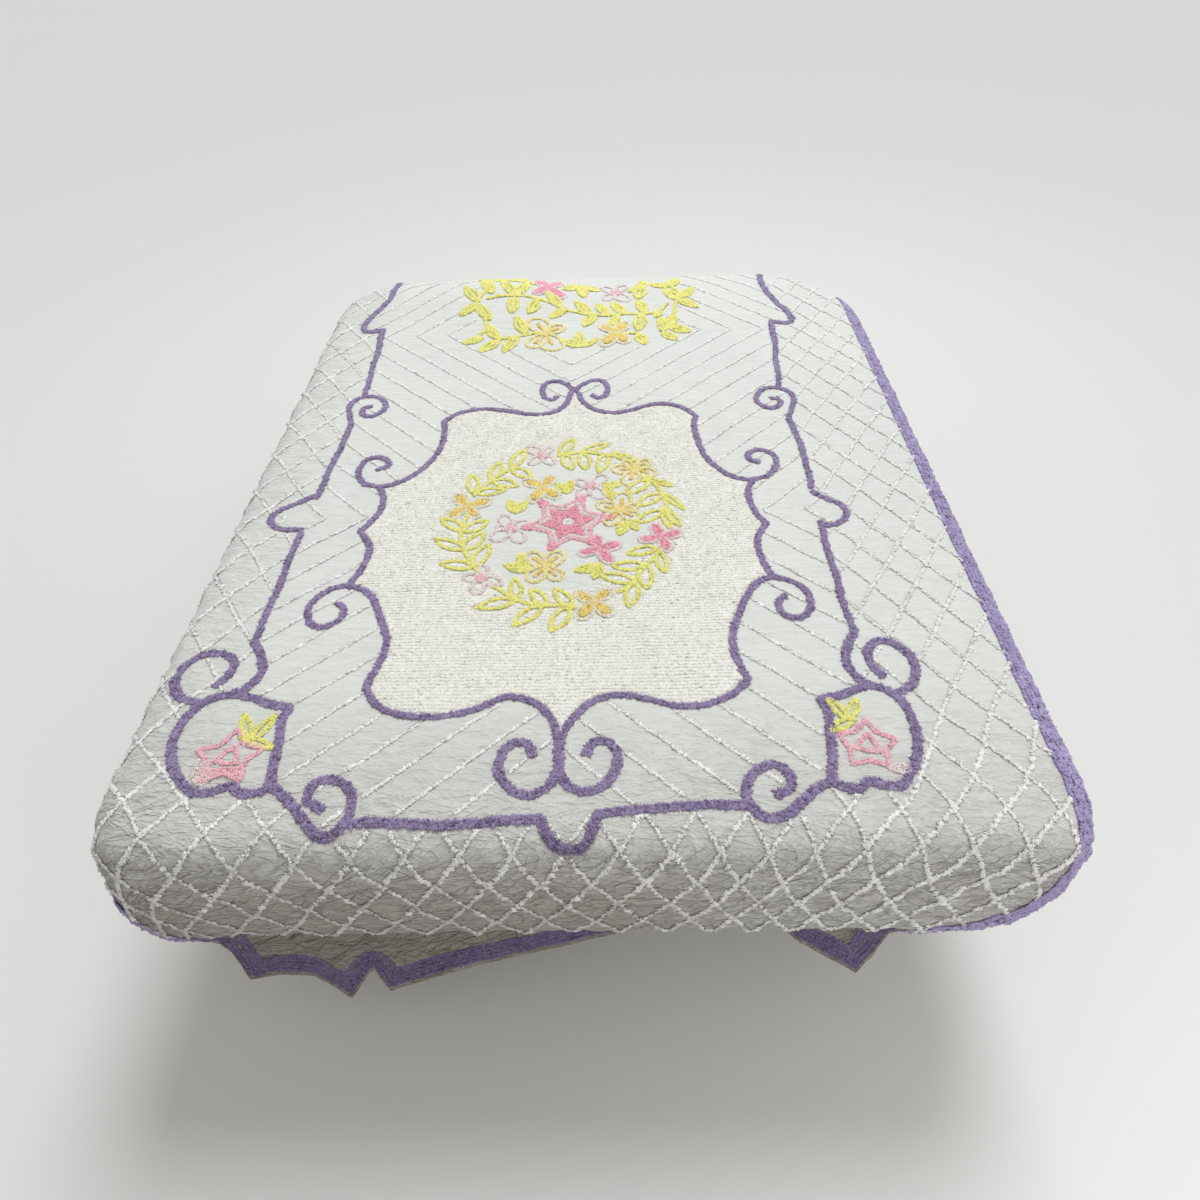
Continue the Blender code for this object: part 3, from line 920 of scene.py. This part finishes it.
LATTICE_SPOTS = [lattice_spots(way) for way in (-1, 1)]
# Painted shade on the fall at the foot: more of the lattice tufts go to the darker shaded_white yarn the lower they
# lie, and fewer at the right
painted_shade_spots = []
for k, spots in enumerate(LATTICE_SPOTS):
    share = ease(beyond_foot(spots[:, 1]), 0.03, 0.20) * (1 - 0.5 * ease(spots[:, 0], 0.05, 0.45))
    gets_shade = rng.random(len(spots)) < share
    painted_shade_spots.append(spots[gets_shade])
    LATTICE_SPOTS[k] = spots[~gets_shade]
PAINTED_SHADE_SPOTS = np.vstack(painted_shade_spots)

chevron = rows_of(chevron_lines(), LINE_SPACING)
keep = inside(chevron, FRAME_OUTLINE) & ~inside(chevron, PANEL_OUTLINE)
keep &= ~in_medallion(chevron) & ~in_box(chevron, HEAD_WREATH, HEAD_WREATH_BARE)
keep &= ~near(chevron, PURPLE_SPOTS, 0.008) & ~near(chevron, FLOWER_SPOTS, 0.010)
CHEVRON_SPOTS = chevron[keep]

panel = hatch(PANEL_OUTLINE, PANEL_ROW, PANEL_STEP, 0.0007)
panel = panel[~in_bare_disc(panel)]
PANEL_SPOTS = panel[~near(panel, PURPLE_SPOTS, 0.0060) & ~near(panel, FLOWER_SPOTS, 0.0070)]

BAND_SPOTS = np.vstack([paced(edge_line(BAND_FROM + BAND_PITCH * k), 0.0050) for k in range(BAND_ROWS)])
BAND_SPOTS = BAND_SPOTS + rng.normal(0, 0.0007, BAND_SPOTS.shape)


# ---------------------------------------------------------------- shader arithmetic
class Wire:
    """A shader socket that can be added, multiplied and so on."""

    def __init__(self, tree, socket):
        self.tree = tree
        self.socket = socket

    def node(self, kind, *inputs, out=0, **settings):
        """A new node: its inputs in order, linked if they are wires, and its settings."""
        made = self.tree.nodes.new(kind)
        for key, value in settings.items():
            setattr(made, key, value)
        for slot, value in enumerate(inputs):
            if isinstance(value, Wire):
                self.tree.links.new(value.socket, made.inputs[slot])
            else:
                made.inputs[slot].default_value = value
        return Wire(self.tree, made.outputs[out])

    def math(self, operation, *others, clamp=False):
        return self.node("ShaderNodeMath", self, *others, operation=operation, use_clamp=clamp)

    def __add__(self, other):
        return self.math("ADD", other)

    def __sub__(self, other):
        return self.math("SUBTRACT", other)

    def __rsub__(self, other):
        return self.node("ShaderNodeMath", other, self, operation="SUBTRACT")

    def __mul__(self, other):
        return self.math("MULTIPLY", other)

    def ramp(self, low, high, to_low=0.0, to_high=1.0):
        """to_low up to low, to_high from high on, and a smooth S between them."""
        return self.node("ShaderNodeMapRange", self, low, high, to_low, to_high, interpolation_type="SMOOTHSTEP")

    def mix(self, first, second):
        """first where this is 0, second where it is 1; both colours."""
        made = self.tree.nodes.new("ShaderNodeMix")
        made.data_type = "RGBA"
        for slot, value in ((0, self), (6, first), (7, second)):
            if isinstance(value, Wire):
                self.tree.links.new(value.socket, made.inputs[slot])
            else:
                made.inputs[slot].default_value = (*value, 1)
        return Wire(self.tree, made.outputs[2])


def new_look(name):
    """A material with its tree, its Principled shader and a wire to start from."""
    look = bpy.data.materials.new(name)
    look.use_nodes = True
    tree = look.node_tree
    shader = tree.nodes["Principled BSDF"]
    return look, shader, Wire(tree, None)


def plug(wire, shader, name):
    """Links a wire to the shader's input of this name."""
    wire.tree.links.new(wire.socket, shader.inputs[name])


def set_inputs(shader, **values):
    """Sets inputs by name, with _ for each space of the name."""
    for key, value in values.items():
        shader.inputs[key.replace("_", " ")].default_value = value


def fed(wire, kind, name, source, **values):
    """A new node whose named input is fed by source, with its other inputs set."""
    made = wire.tree.nodes.new(kind)
    set_inputs(made, **values)
    wire.tree.links.new(source.socket, made.inputs[name])
    return made


def bump(wire, height, distance, strength=1.0):
    """A normal bent by height, whose full range stands distance metres high."""
    made = fed(wire, "ShaderNodeBump", "Height", height, Strength=strength, Distance=distance)
    return Wire(wire.tree, made.outputs[0])


def noise(wire, where, scale, detail=2.0, rough=0.5, twist=0.0):
    """Soft noise between 0 and 1, with scale cells to the metre."""
    settings = {"Scale": scale, "Detail": detail, "Roughness": rough, "Distortion": twist}
    return Wire(wire.tree, fed(wire, "ShaderNodeTexNoise", "Vector", where, **settings).outputs[0])


def stretched(wire, where, x, y, degrees=0.0):
    """Places turned by degrees, then multiplied by x and y."""
    turned_by = (0, 0, math.radians(degrees))
    made = fed(wire, "ShaderNodeMapping", "Vector", where, Rotation=turned_by, Scale=(1 / x, 1 / y, 1))
    made.vector_type = "TEXTURE"
    return Wire(wire.tree, made.outputs[0])


def split(wire, where):
    """The three numbers of a place."""
    outputs = fed(wire, "ShaderNodeSeparateXYZ", 0, where).outputs
    return [Wire(wire.tree, output) for output in outputs]


def attribute(wire, name):
    """The number of this name that the mesh holds at each point."""
    return wire.node("ShaderNodeAttribute", attribute_name=name, out=2)


def yarn_look(name, core, tip, fleck):
    """Cut cotton pile, each tuft a shade of its own: darker at the root and paler at the tip, the darker root being
    painted shade among the spikes.
    """
    look, shader, wire = new_look(name)
    where = wire.node("ShaderNodeTexCoord", out=3)
    shade = attribute(wire, "shade")
    tips = attribute(wire, "tip")
    fine = noise(wire, where, 900.0, 2.0, 0.6)
    patch = noise(wire, where, 14.0, 2.0, 0.5)
    # tips runs from 0 at a tuft's root to 1 at its raised middle: the darker root is painted shade
    lightness = tips * 0.70 + shade * fleck + (fine - 0.5) * 0.45 + (patch - 0.5) * 0.25 + 0.15
    plug(lightness.ramp(0.0, 1.0).mix(core, tip), shader, "Base Color")
    plug(bump(wire, fine, 0.0006, 0.6), shader, "Normal")
    set_inputs(shader, Roughness=0.95, Sheen_Weight=0.25, Sheen_Roughness=0.5, Specular_IOR_Level=0.15)
    return look


YARN = {
    name: yarn_look(name + "_chenille", core, tip, fleck)
    for name, core, tip, fleck in (
        ("white", (0.74, 0.73, 0.70), (0.96, 0.955, 0.935), 0.8),
        # a darker copy of the white yarn: painted shade for the low tufts on the fall at the foot
        ("shaded_white", (0.42, 0.40, 0.375), (0.76, 0.745, 0.715), 0.8),
        ("cream", (0.70, 0.69, 0.62), (0.90, 0.895, 0.84), 0.6),
        ("purple", (0.12, 0.084, 0.195), (0.39, 0.31, 0.50), 1.0),
        # a darker copy of the purple yarn: painted shade for the flat hem band under the foot roll
        ("shaded_purple", (0.07, 0.053, 0.12), (0.215, 0.17, 0.30), 1.0),
        ("lavender", (0.22, 0.175, 0.345), (0.52, 0.445, 0.70), 1.0),
        ("yellow", (0.81, 0.765, 0.13), (0.97, 0.94, 0.36), 0.7),
        ("peach", (0.89, 0.75, 0.29), (0.97, 0.90, 0.51), 0.7),
        ("amber", (0.90, 0.61, 0.15), (0.97, 0.79, 0.28), 0.7),
        ("pale", (0.80, 0.75, 0.58), (0.93, 0.88, 0.70), 0.7),
        ("rose", (0.88, 0.29, 0.39), (0.98, 0.49, 0.60), 0.7),
        ("pink", (0.88, 0.42, 0.49), (0.97, 0.62, 0.69), 0.7),
        ("blush", (0.78, 0.62, 0.61), (0.92, 0.83, 0.82), 0.7),
    )
}


def muslin_look():
    """Washed muslin: a fine plain weave, crinkled all over, with a crease beside each row of
    stitching, cream ground under the panel's pile and a faint unevenness of tone. Its colour
    also holds painted shade: a painted shadow beside each row of stitching, and darker ground
    in the dips of its creases, where it lies slack, towards the foot, on the fall at the foot
    and on the plain strip and its hem band under the foot roll."""
    look, shader, wire = new_look("muslin")
    flat = wire.node("ShaderNodeUVMap", uv_map="flat")
    s, t, _ = split(wire, flat)
    lattice_zone, chevron_zone, panel_zone, steps_across, steps_along, slack, face, plain, to_edge = (
        attribute(wire, key)
        for key in (
            "lattice_zone", "chevron_zone", "panel_zone", "steps_across", "steps_along",
            "slack", "face", "plain", "to_edge",
        )
    )

    def crease(count, across, width):
        """1 on lines where count is whole, 0 from width metres away on either side."""
        away = (0.5 - (count.math("FRACT") - 0.5).math("ABSOLUTE")) * across
        return away.ramp(0.35 * width, width, 1.0, 0.0)

    wobble = (noise(wire, flat, 18.0) - 0.5) * 0.05
    falling = crease(steps_across + steps_along + wobble + 0.5, LATTICE_ACROSS, 0.0052)
    rising = crease(steps_across - steps_along + wobble + 0.5, LATTICE_ACROSS, 0.0058)
    lattice_fold = (falling * 0.95 + rising * 0.30) * lattice_zone
    below = (t - CHEVRON_LOW).math("MINIMUM", 0.0) * (1 / CHEVRON_LOW_SLOPE)
    between = (t - CHEVRON_LOW).math("MAXIMUM", 0.0).math("MINIMUM", CHEVRON_HIGH - CHEVRON_LOW)
    above = (t - CHEVRON_HIGH).math("MAXIMUM", 0.0)
    phase = (s.math("ABSOLUTE") - CHEVRON_APEX + below + (above - between)) * (1 / CHEVRON_ACROSS)
    chevron_fold = crease(phase + wobble * 0.6, CHEVRON_ACROSS, 0.0052) * chevron_zone

    def creased(degrees, scale, width):
        """Thin wandering creases, 1 on their ridges: where a stretched noise is at its middle."""
        value = noise(wire, stretched(wire, flat, 0.42, 1.5, degrees), scale, 2.0, 0.5, 0.9)
        return (value - 0.5).math("ABSOLUTE").ramp(0.0, width, 1.0, 0.0)

    creases = creased(6, 30.0, 0.060) + creased(-24, 25.0, 0.055) + creased(32, 23.0, 0.050)
    creases = creases + (creased(-10, 12.0, 0.030) + creased(22, 10.0, 0.026)) * 1.5
    crinkle = noise(wire, stretched(wire, flat, 1.0, 1.9), 46.0, 4.0, 0.58, 1.2)
    fold = noise(wire, stretched(wire, flat, 0.7, 2.2), 21.0, 3.0, 0.5, 1.3)
    weave_s = (s * (2 * math.pi / 0.0011)).math("SINE")
    weave_t = (t * (2 * math.pi / 0.0013)).math("SINE")
    thread = noise(wire, flat, 420.0, 3.0, 0.6)
    stitched = (t * (2 * math.pi / 0.012)).math("SINE")
    height = (
        creases * (slack * slack * 0.0025 + 0.00006)
        + crinkle * (slack * 0.0050 + 0.0003)
        + fold * (slack * 0.0140 + 0.0012)
        + (weave_s + weave_t) * 0.00005
        + thread * 0.00020
        - (lattice_fold + chevron_fold) * (0.0014 - slack * 0.0009)
        + stitched * plain * 0.0004
    )
    plug(bump(wire, height, 1.0), shader, "Normal")

    broad = noise(wire, flat, 3.1, 3.0, 0.55)
    ground = broad.ramp(0.3, 0.7).mix((0.72, 0.737, 0.713), (0.755, 0.767, 0.743))
    # painted shade: the ground is darker where the cloth lies slack and towards the foot
    ground = (slack * 0.55 + t.ramp(-0.95, -0.55, 0.40, 0.0)).mix(ground, (0.585, 0.58, 0.556))
    # painted shade in the dips of the creases, crinkles and folds, the more where the cloth lies slack
    crease_shade = (1.0 - creases * 0.5) * 0.22 + crinkle.ramp(0.38, 0.56, 1.0, 0.0) * 0.36
    crease_shade = (crease_shade + fold.ramp(0.38, 0.58, 1.0, 0.0) * 0.30) * slack
    ground = crease_shade.mix(ground, (0.40, 0.375, 0.35))
    # painted shade on the fall at the foot, deepest on its left part
    ground = (face * face * 0.92).mix(ground, (0.41, 0.375, 0.345))
    ground = panel_zone.mix(ground, (0.76, 0.75, 0.69))
    # painted shade: the plain strip under the foot roll is darker
    ground = plain.mix(ground, (0.30, 0.275, 0.24))
    shadow = ((lattice_fold + chevron_fold) * (0.42 - slack * 0.34)).math("ADD", 0.0, clamp=True)
    ground = shadow.mix(ground, (0.30, 0.275, 0.235))
    band = to_edge.ramp(0.0070, 0.0095) * to_edge.ramp(0.0400, 0.0425, 1.0, 0.0)
    streak = noise(wire, flat, 260.0, 2.0, 0.6).ramp(0.35, 0.65).mix((0.24, 0.19, 0.38), (0.42, 0.35, 0.60))
    # painted shade: the hem band on the plain strip is a darker purple
    streak = plain.mix(streak, (0.13, 0.10, 0.205))
    plug(band.mix(ground, streak), shader, "Base Color")
    set_inputs(shader, Roughness=0.93, Sheen_Weight=0.15, Specular_IOR_Level=0.2)
    return look


MUSLIN = muslin_look()


def ticking_look(name, light, dark, pitch):
    """A plain woven cover: fine twill ribs, thread noise and faint soiling."""
    look, shader, wire = new_look(name)
    where = wire.node("ShaderNodeTexCoord", out=3)
    x, y, z = split(wire, where)
    rib = ((x + y + z * 1.4) * (2 * math.pi / pitch)).math("SINE")
    thread = noise(wire, where, 600.0, 3.0, 0.6)
    broad = noise(wire, where, 5.0, 3.0, 0.5)
    mixed = (thread * 0.6 + broad * 0.5 + rib * 0.10).ramp(0.3, 0.8)
    plug(mixed.mix(dark, light), shader, "Base Color")
    plug(bump(wire, rib * 0.5 + thread, 0.0005, 0.7), shader, "Normal")
    set_inputs(shader, Roughness=0.9, Sheen_Weight=0.1)
    return look


# ---------------------------------------------------------------- the sheet
def flat_area():
    """Area of the flat cloth: the piece up to the flat top's foot edge, and the strip beyond it
    to the uneven hem."""
    across = np.linspace(LEFT_HEM, RIGHT_HEM, 400)
    beyond = foot_edge(across)[0]
    strip = np.sum((beyond[1:] + beyond[:-1]) / 2 * np.diff(across))
    return float((RIGHT_HEM - LEFT_HEM) * (HEAD_HEM + FLAT_Y) + strip)


SHEET_AREA = flat_area()


def build_sheet():
    """The muslin: a grid over the flat cloth, its last rows drawn in to the foot hem."""
    across = stations(
        (LEFT_HEM, -FLAT_X, 16),
        (-FLAT_X, -0.56, 12),
        (-0.56, -0.33, 26),
        (-0.33, 0.24, 44),
        (0.24, 0.48, 28),
        (0.48, FLAT_X, 18),
        (FLAT_X, RIGHT_HEM, 6),
    )
    along = stations(
        (-GRID_PAST_FOOT, -0.33, 24),
        (-0.33, -ARC, 30),
        (-ARC, 0.0, 11),
        (0.0, 2 * FLAT_Y, 126),
        (2 * FLAT_Y, 2 * FLAT_Y + ARC, 10),
        (2 * FLAT_Y + ARC, 2 * FLAT_Y + HEAD_FALL, 24),
    )
    s, past = np.meshgrid(across, along)
    hem = foot_edge(s)[0]
    t = np.where(past < 0, past * hem / GRID_PAST_FOOT, past) - FLAT_Y
    s_flat, t_flat = s.ravel(), t.ravel()
    place, _, _, out = lay(s_flat, t_flat, -SHEET_THICKNESS)
    figure = np.stack((s_flat - PATTERN_SHIFT, t_flat), axis=1)
    in_frame = inside(figure, FRAME_OUTLINE)
    in_panel = inside(figure, PANEL_OUTLINE)
    past_foot = beyond_foot(t_flat)
    to_edge = np.minimum.reduce((RIGHT_HEM - s_flat, s_flat - LEFT_HEM, HEAD_HEM - t_flat, t_flat - foot_hem(s_flat)))
    below_stem = (np.abs(figure[:, 0] - 0.015) < 0.07) & (figure[:, 1] < -0.88)
    smooth_place = in_box(figure, HEAD_WREATH, HEAD_WREATH_SMOOTH) | below_stem | in_medallion(figure)
    floats = {
        "lattice_zone": (~in_frame & (past_foot < PLAIN_FROM)).astype(float),
        "chevron_zone": (in_frame & ~in_panel & ~smooth_place).astype(float),
        "panel_zone": (in_panel & ~in_bare_disc(figure)).astype(float),
        "steps_across": lattice_across(*figure.T),
        "steps_along": lattice_along(*figure.T),
        "slack": slackness(s_flat, t_flat),
        "to_edge": np.clip(to_edge, 0, 0.1),
        # the fall at the foot, fading out to the right: the muslin paints shade by it
        "face": ease(past_foot, 0.02, 0.16) * (1 - ease(s_flat, 0.02, 0.36)),
        # the plain strip past the lattice at the foot: stitched in rows, and painted darker as shade under the roll
        "plain": ease(past_foot, PLAIN_FROM - 0.01, PLAIN_FROM + 0.01),
    }
    sheet = make_mesh("bedspread_cloth", place, grid_faces(*s.shape), floats, figure)
    sheet.data.materials.append(MUSLIN)
    sheet.data.shade_smooth()
    thick = sheet.modifiers.new("thickness", "SOLIDIFY")
    thick.thickness = SHEET_THICKNESS
    thick.offset = 1
    return sheet


sheet = build_sheet()


def thinned(spots):
    """The spots as they are: none is left out."""
    return spots


def yarn(name, spots, radius, height, look, by_slack=False, **more):
    """Tufts at figure spots, fuller near the head; with by_slack they are flatter and finer
    where the cloth is taut instead."""
    cloth = thinned(pattern_to_cloth(spots))
    if by_slack:
        fuller = 0.78 + 0.26 * slackness(*cloth.T)
    else:
        fuller = 1 + 0.30 * ease(cloth[:, 1], 0.45, 0.60)
    return tufted(name, cloth, radius * fuller, height * fuller, look, **more)


lattice_thread = {"by_slack": True, "tone": 0.16, "ragged": 0.26}
pieces = [
    yarn("lattice_tufts_falling", LATTICE_SPOTS[0], 0.0044, 0.0044, YARN["white"], **lattice_thread),
    yarn("lattice_tufts_rising", LATTICE_SPOTS[1], 0.0050, 0.0044, YARN["white"], **lattice_thread),
    yarn("lattice_tufts_shaded_low", PAINTED_SHADE_SPOTS, 0.0039, 0.0042, YARN["shaded_white"], tone=0.20, ragged=0.26),
    yarn("chevron_tufts", CHEVRON_SPOTS, 0.0047, 0.0040, YARN["white"], by_slack=True, tone=0.14, ragged=0.28),
    yarn("panel_pile", PANEL_SPOTS, 0.0050, 0.0019, YARN["cream"], spikes=4),
    yarn("scroll_tufts", PURPLE_SPOTS, 0.0046, 0.0044, YARN["purple"], tone=0.16, ragged=0.24),
]
for name, key, radius, height, look in (
    ("yellow_leaves", "yellow", 0.0034, 0.0044, "yellow"),
    ("peach_petals", "peach", 0.0032, 0.0042, "peach"),
    ("amber_petals", "amber", 0.0034, 0.0046, "amber"),
    ("pale_petals", "cream", 0.0032, 0.0038, "pale"),
    ("rose_petals", "rose", 0.0034, 0.0046, "rose"),
    ("pink_petals", "pink", 0.0034, 0.0044, "pink"),
    ("blush_petals", "blush", 0.0031, 0.0036, "blush"),
    ("white_petals", "milk", 0.0034, 0.0036, "white"),
):
    pieces.append(yarn(name, yarn_spots[key], radius, height, YARN[look]))
# On the plain strip under the foot roll the hem band turns to flat rows, the cloth's reverse side; their darker
# shaded_purple yarn is painted shade under the roll
plain_hem = rng.random(len(BAND_SPOTS)) < ease(beyond_foot(BAND_SPOTS[:, 1]), 0.20, PLAIN_FROM + 0.01)
band, flat_shaded_band = thinned(BAND_SPOTS[~plain_hem]), thinned(BAND_SPOTS[plain_hem])
pieces.append(tufted("edge_band", band, 0.0048, 0.0048, YARN["lavender"], tone=0.12))
pieces.append(tufted("edge_band_shaded_flat", flat_shaded_band, 0.0046, 0.0016, YARN["shaded_purple"], tone=0.08))


# ---------------------------------------------------------------- mattress and base
def rounded_block(name, width, length, height, corners, edge, middle_z):
    """A soft block: a rounded rectangle in plan, whose side is a quarter-round edge top and
    bottom, with its top and underside closed by shrinking copies of the plan. corners gives the
    radii at the head right, head left, foot left and foot right."""
    around = 320

    def plan(inset):
        half_x = width / 2 - inset
        half_y = length / 2 - inset
        arcs = []
        for quarter, (sign_x, sign_y) in enumerate(((1, 1), (-1, 1), (-1, -1), (1, -1))):
            r = max(corners[quarter] - inset, 0.004)
            a = np.pi / 2 * (quarter + np.linspace(0, 1, 12))
            x = sign_x * (half_x - r) + r * np.cos(a)
            y = sign_y * (half_y - r) + r * np.sin(a)
            arcs.append(np.stack((x, y), axis=1))
        ring = np.vstack(arcs)
        return divided(np.vstack((ring, ring[:1])), around)[:-1]

    top = [(edge + inset * (width / 2 - edge), height / 2) for inset in (0.60, 0.40, 0.22, 0.12)]
    for a in np.linspace(0, np.pi / 2, 10):
        top.append((edge * (1 - np.sin(a)), height / 2 - edge * (1 - np.cos(a))))
    side = [(0.0, z) for z in np.linspace(height / 2 - edge, -height / 2 + edge, 9)[1:-1]]
    levels = top + side + [(inset, -z) for inset, z in reversed(top)]
    rings = [np.column_stack((plan(inset), np.full(around, middle_z + z))) for inset, z in levels]
    first = np.arange(len(rings) - 1)[:, None] * around
    index = first + np.arange(around)
    beside = first + (np.arange(around) + 1) % around
    faces = np.stack((index, index + around, beside + around, beside), axis=-1).reshape(-1, 4)
    made = make_mesh(name, np.vstack(rings), faces)
    bm = bmesh.new()
    bm.from_mesh(made.data)
    bmesh.ops.holes_fill(bm, edges=[edge for edge in bm.edges if edge.is_boundary], sides=0)
    bmesh.ops.recalc_face_normals(bm, faces=bm.faces)
    bm.to_mesh(made.data)
    bm.free()
    made.data.shade_smooth()
    return made


mattress = rounded_block(
    "mattress_cover",
    MATTRESS_WIDTH - 0.001,
    MATTRESS_LENGTH - 0.001,
    MATTRESS_THICKNESS - 0.001,
    (MATTRESS_HEAD_RIGHT, MATTRESS_HEAD_LEFT, MATTRESS_CORNER, MATTRESS_CORNER),
    MATTRESS_EDGE,
    BASE_HEIGHT + REST_GAP + MATTRESS_THICKNESS / 2,
)
mattress.data.materials.append(ticking_look("ticking", (0.80, 0.79, 0.75), (0.66, 0.65, 0.61), 0.0035))
base_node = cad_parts["bed_base"]
# The base has a woven cover; its dark grey is painted shade, standing for the dark beneath the bed
base_look = ticking_look("base_cloth", (0.42, 0.41, 0.39), (0.30, 0.29, 0.28), 0.0040)
for slot in base_node.material_slots:
    slot.material = base_look

# ---------------------------------------------------------------- frame declarations
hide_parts("bedspread")
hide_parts("mattress")
for piece in [sheet, *pieces]:
    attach(piece, "root")
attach(mattress, "root")

# ---------------------------------------------------------------- floor, light, camera
FLOOR_REACH = 40.0
floor = make_mesh(
    "floor",
    FLOOR_REACH * np.array(((-1, -1, 0), (1, -1, 0), (1, 1, 0), (-1, 1, 0))),
    np.array(((0, 1, 2, 3),)),
)
floor_look, floor_shader, _ = new_look("pale_floor")
set_inputs(floor_shader, Base_Color=(0.72, 0.72, 0.71, 1), Roughness=0.9)
floor.data.materials.append(floor_look)

world = bpy.data.worlds.new("soft_room")
bpy.context.scene.world = world
world.use_nodes = True
set_inputs(world.node_tree.nodes["Background"], Color=(1.0, 0.975, 0.94, 1), Strength=0.50)
bpy.context.scene.view_settings.view_transform = "Standard"


def lamp(name, kind, energy, colour, toward, place=(0, 0, 0)):
    """A light of a kind at a place; toward points from what it lights back to it."""
    light = bpy.data.lights.new(name, kind)
    light.energy = energy
    light.color = colour
    made = bpy.data.objects.new(name, light)
    made.location = place
    made.rotation_euler = Vector(toward).to_track_quat("Z", "Y").to_euler()
    bpy.context.scene.collection.objects.link(made)
    return made


overhead = lamp("overhead_light", "SUN", 1.70, (0.95, 0.99, 1.0), (0.3, 1.0, 1.6))
overhead.data.angle = math.radians(26)
window = lamp("head_light", "AREA", 17, (0.97, 1.0, 1.0), (0.05, 0.45, 2.0), (0.3, 1.5, 2.6))
window.data.shape = "RECTANGLE"
window.data.size, window.data.size_y = 2.4, 1.6
window.visible_camera = False
fill = lamp("fill_light", "AREA", 9, (1.0, 1.0, 1.0), (0.9, -1.25, 0.55), (1.3, -2.3, 1.0))
fill.data.shape = "SQUARE"
fill.data.size = 1.0
fill.visible_camera = False

CAMERA_HEIGHT = 1.104
CAMERA_BACK = 0.609
CAMERA_SIDE = 0.0485
CAMERA_PITCH = math.radians(44.3)
CAMERA_YAW = math.radians(-1.57)
CAMERA_ROLL = math.radians(-2.11)
lens = bpy.data.cameras.new("view")
lens.sensor_width = 36
lens.lens = 24.96
lens.clip_start = 0.05
camera = bpy.data.objects.new("view", lens)
ahead = np.array(
    (
        math.sin(CAMERA_YAW) * math.cos(CAMERA_PITCH),
        math.cos(CAMERA_YAW) * math.cos(CAMERA_PITCH),
        -math.sin(CAMERA_PITCH),
    )
)
right = np.array((math.cos(CAMERA_YAW), -math.sin(CAMERA_YAW), 0.0))
up = np.cross(right, ahead)
rolled_right = right * math.cos(CAMERA_ROLL) + up * math.sin(CAMERA_ROLL)
rolled_up = -right * math.sin(CAMERA_ROLL) + up * math.cos(CAMERA_ROLL)
turn = Matrix(np.stack((rolled_right, rolled_up, -ahead), axis=1).tolist()).to_4x4()
place = (CAMERA_SIDE, -MATTRESS_LENGTH / 2 - CAMERA_BACK, TOP + CAMERA_HEIGHT)
camera.matrix_world = Matrix.Translation(place) @ turn
bpy.context.scene.collection.objects.link(camera)
bpy.context.scene.camera = camera
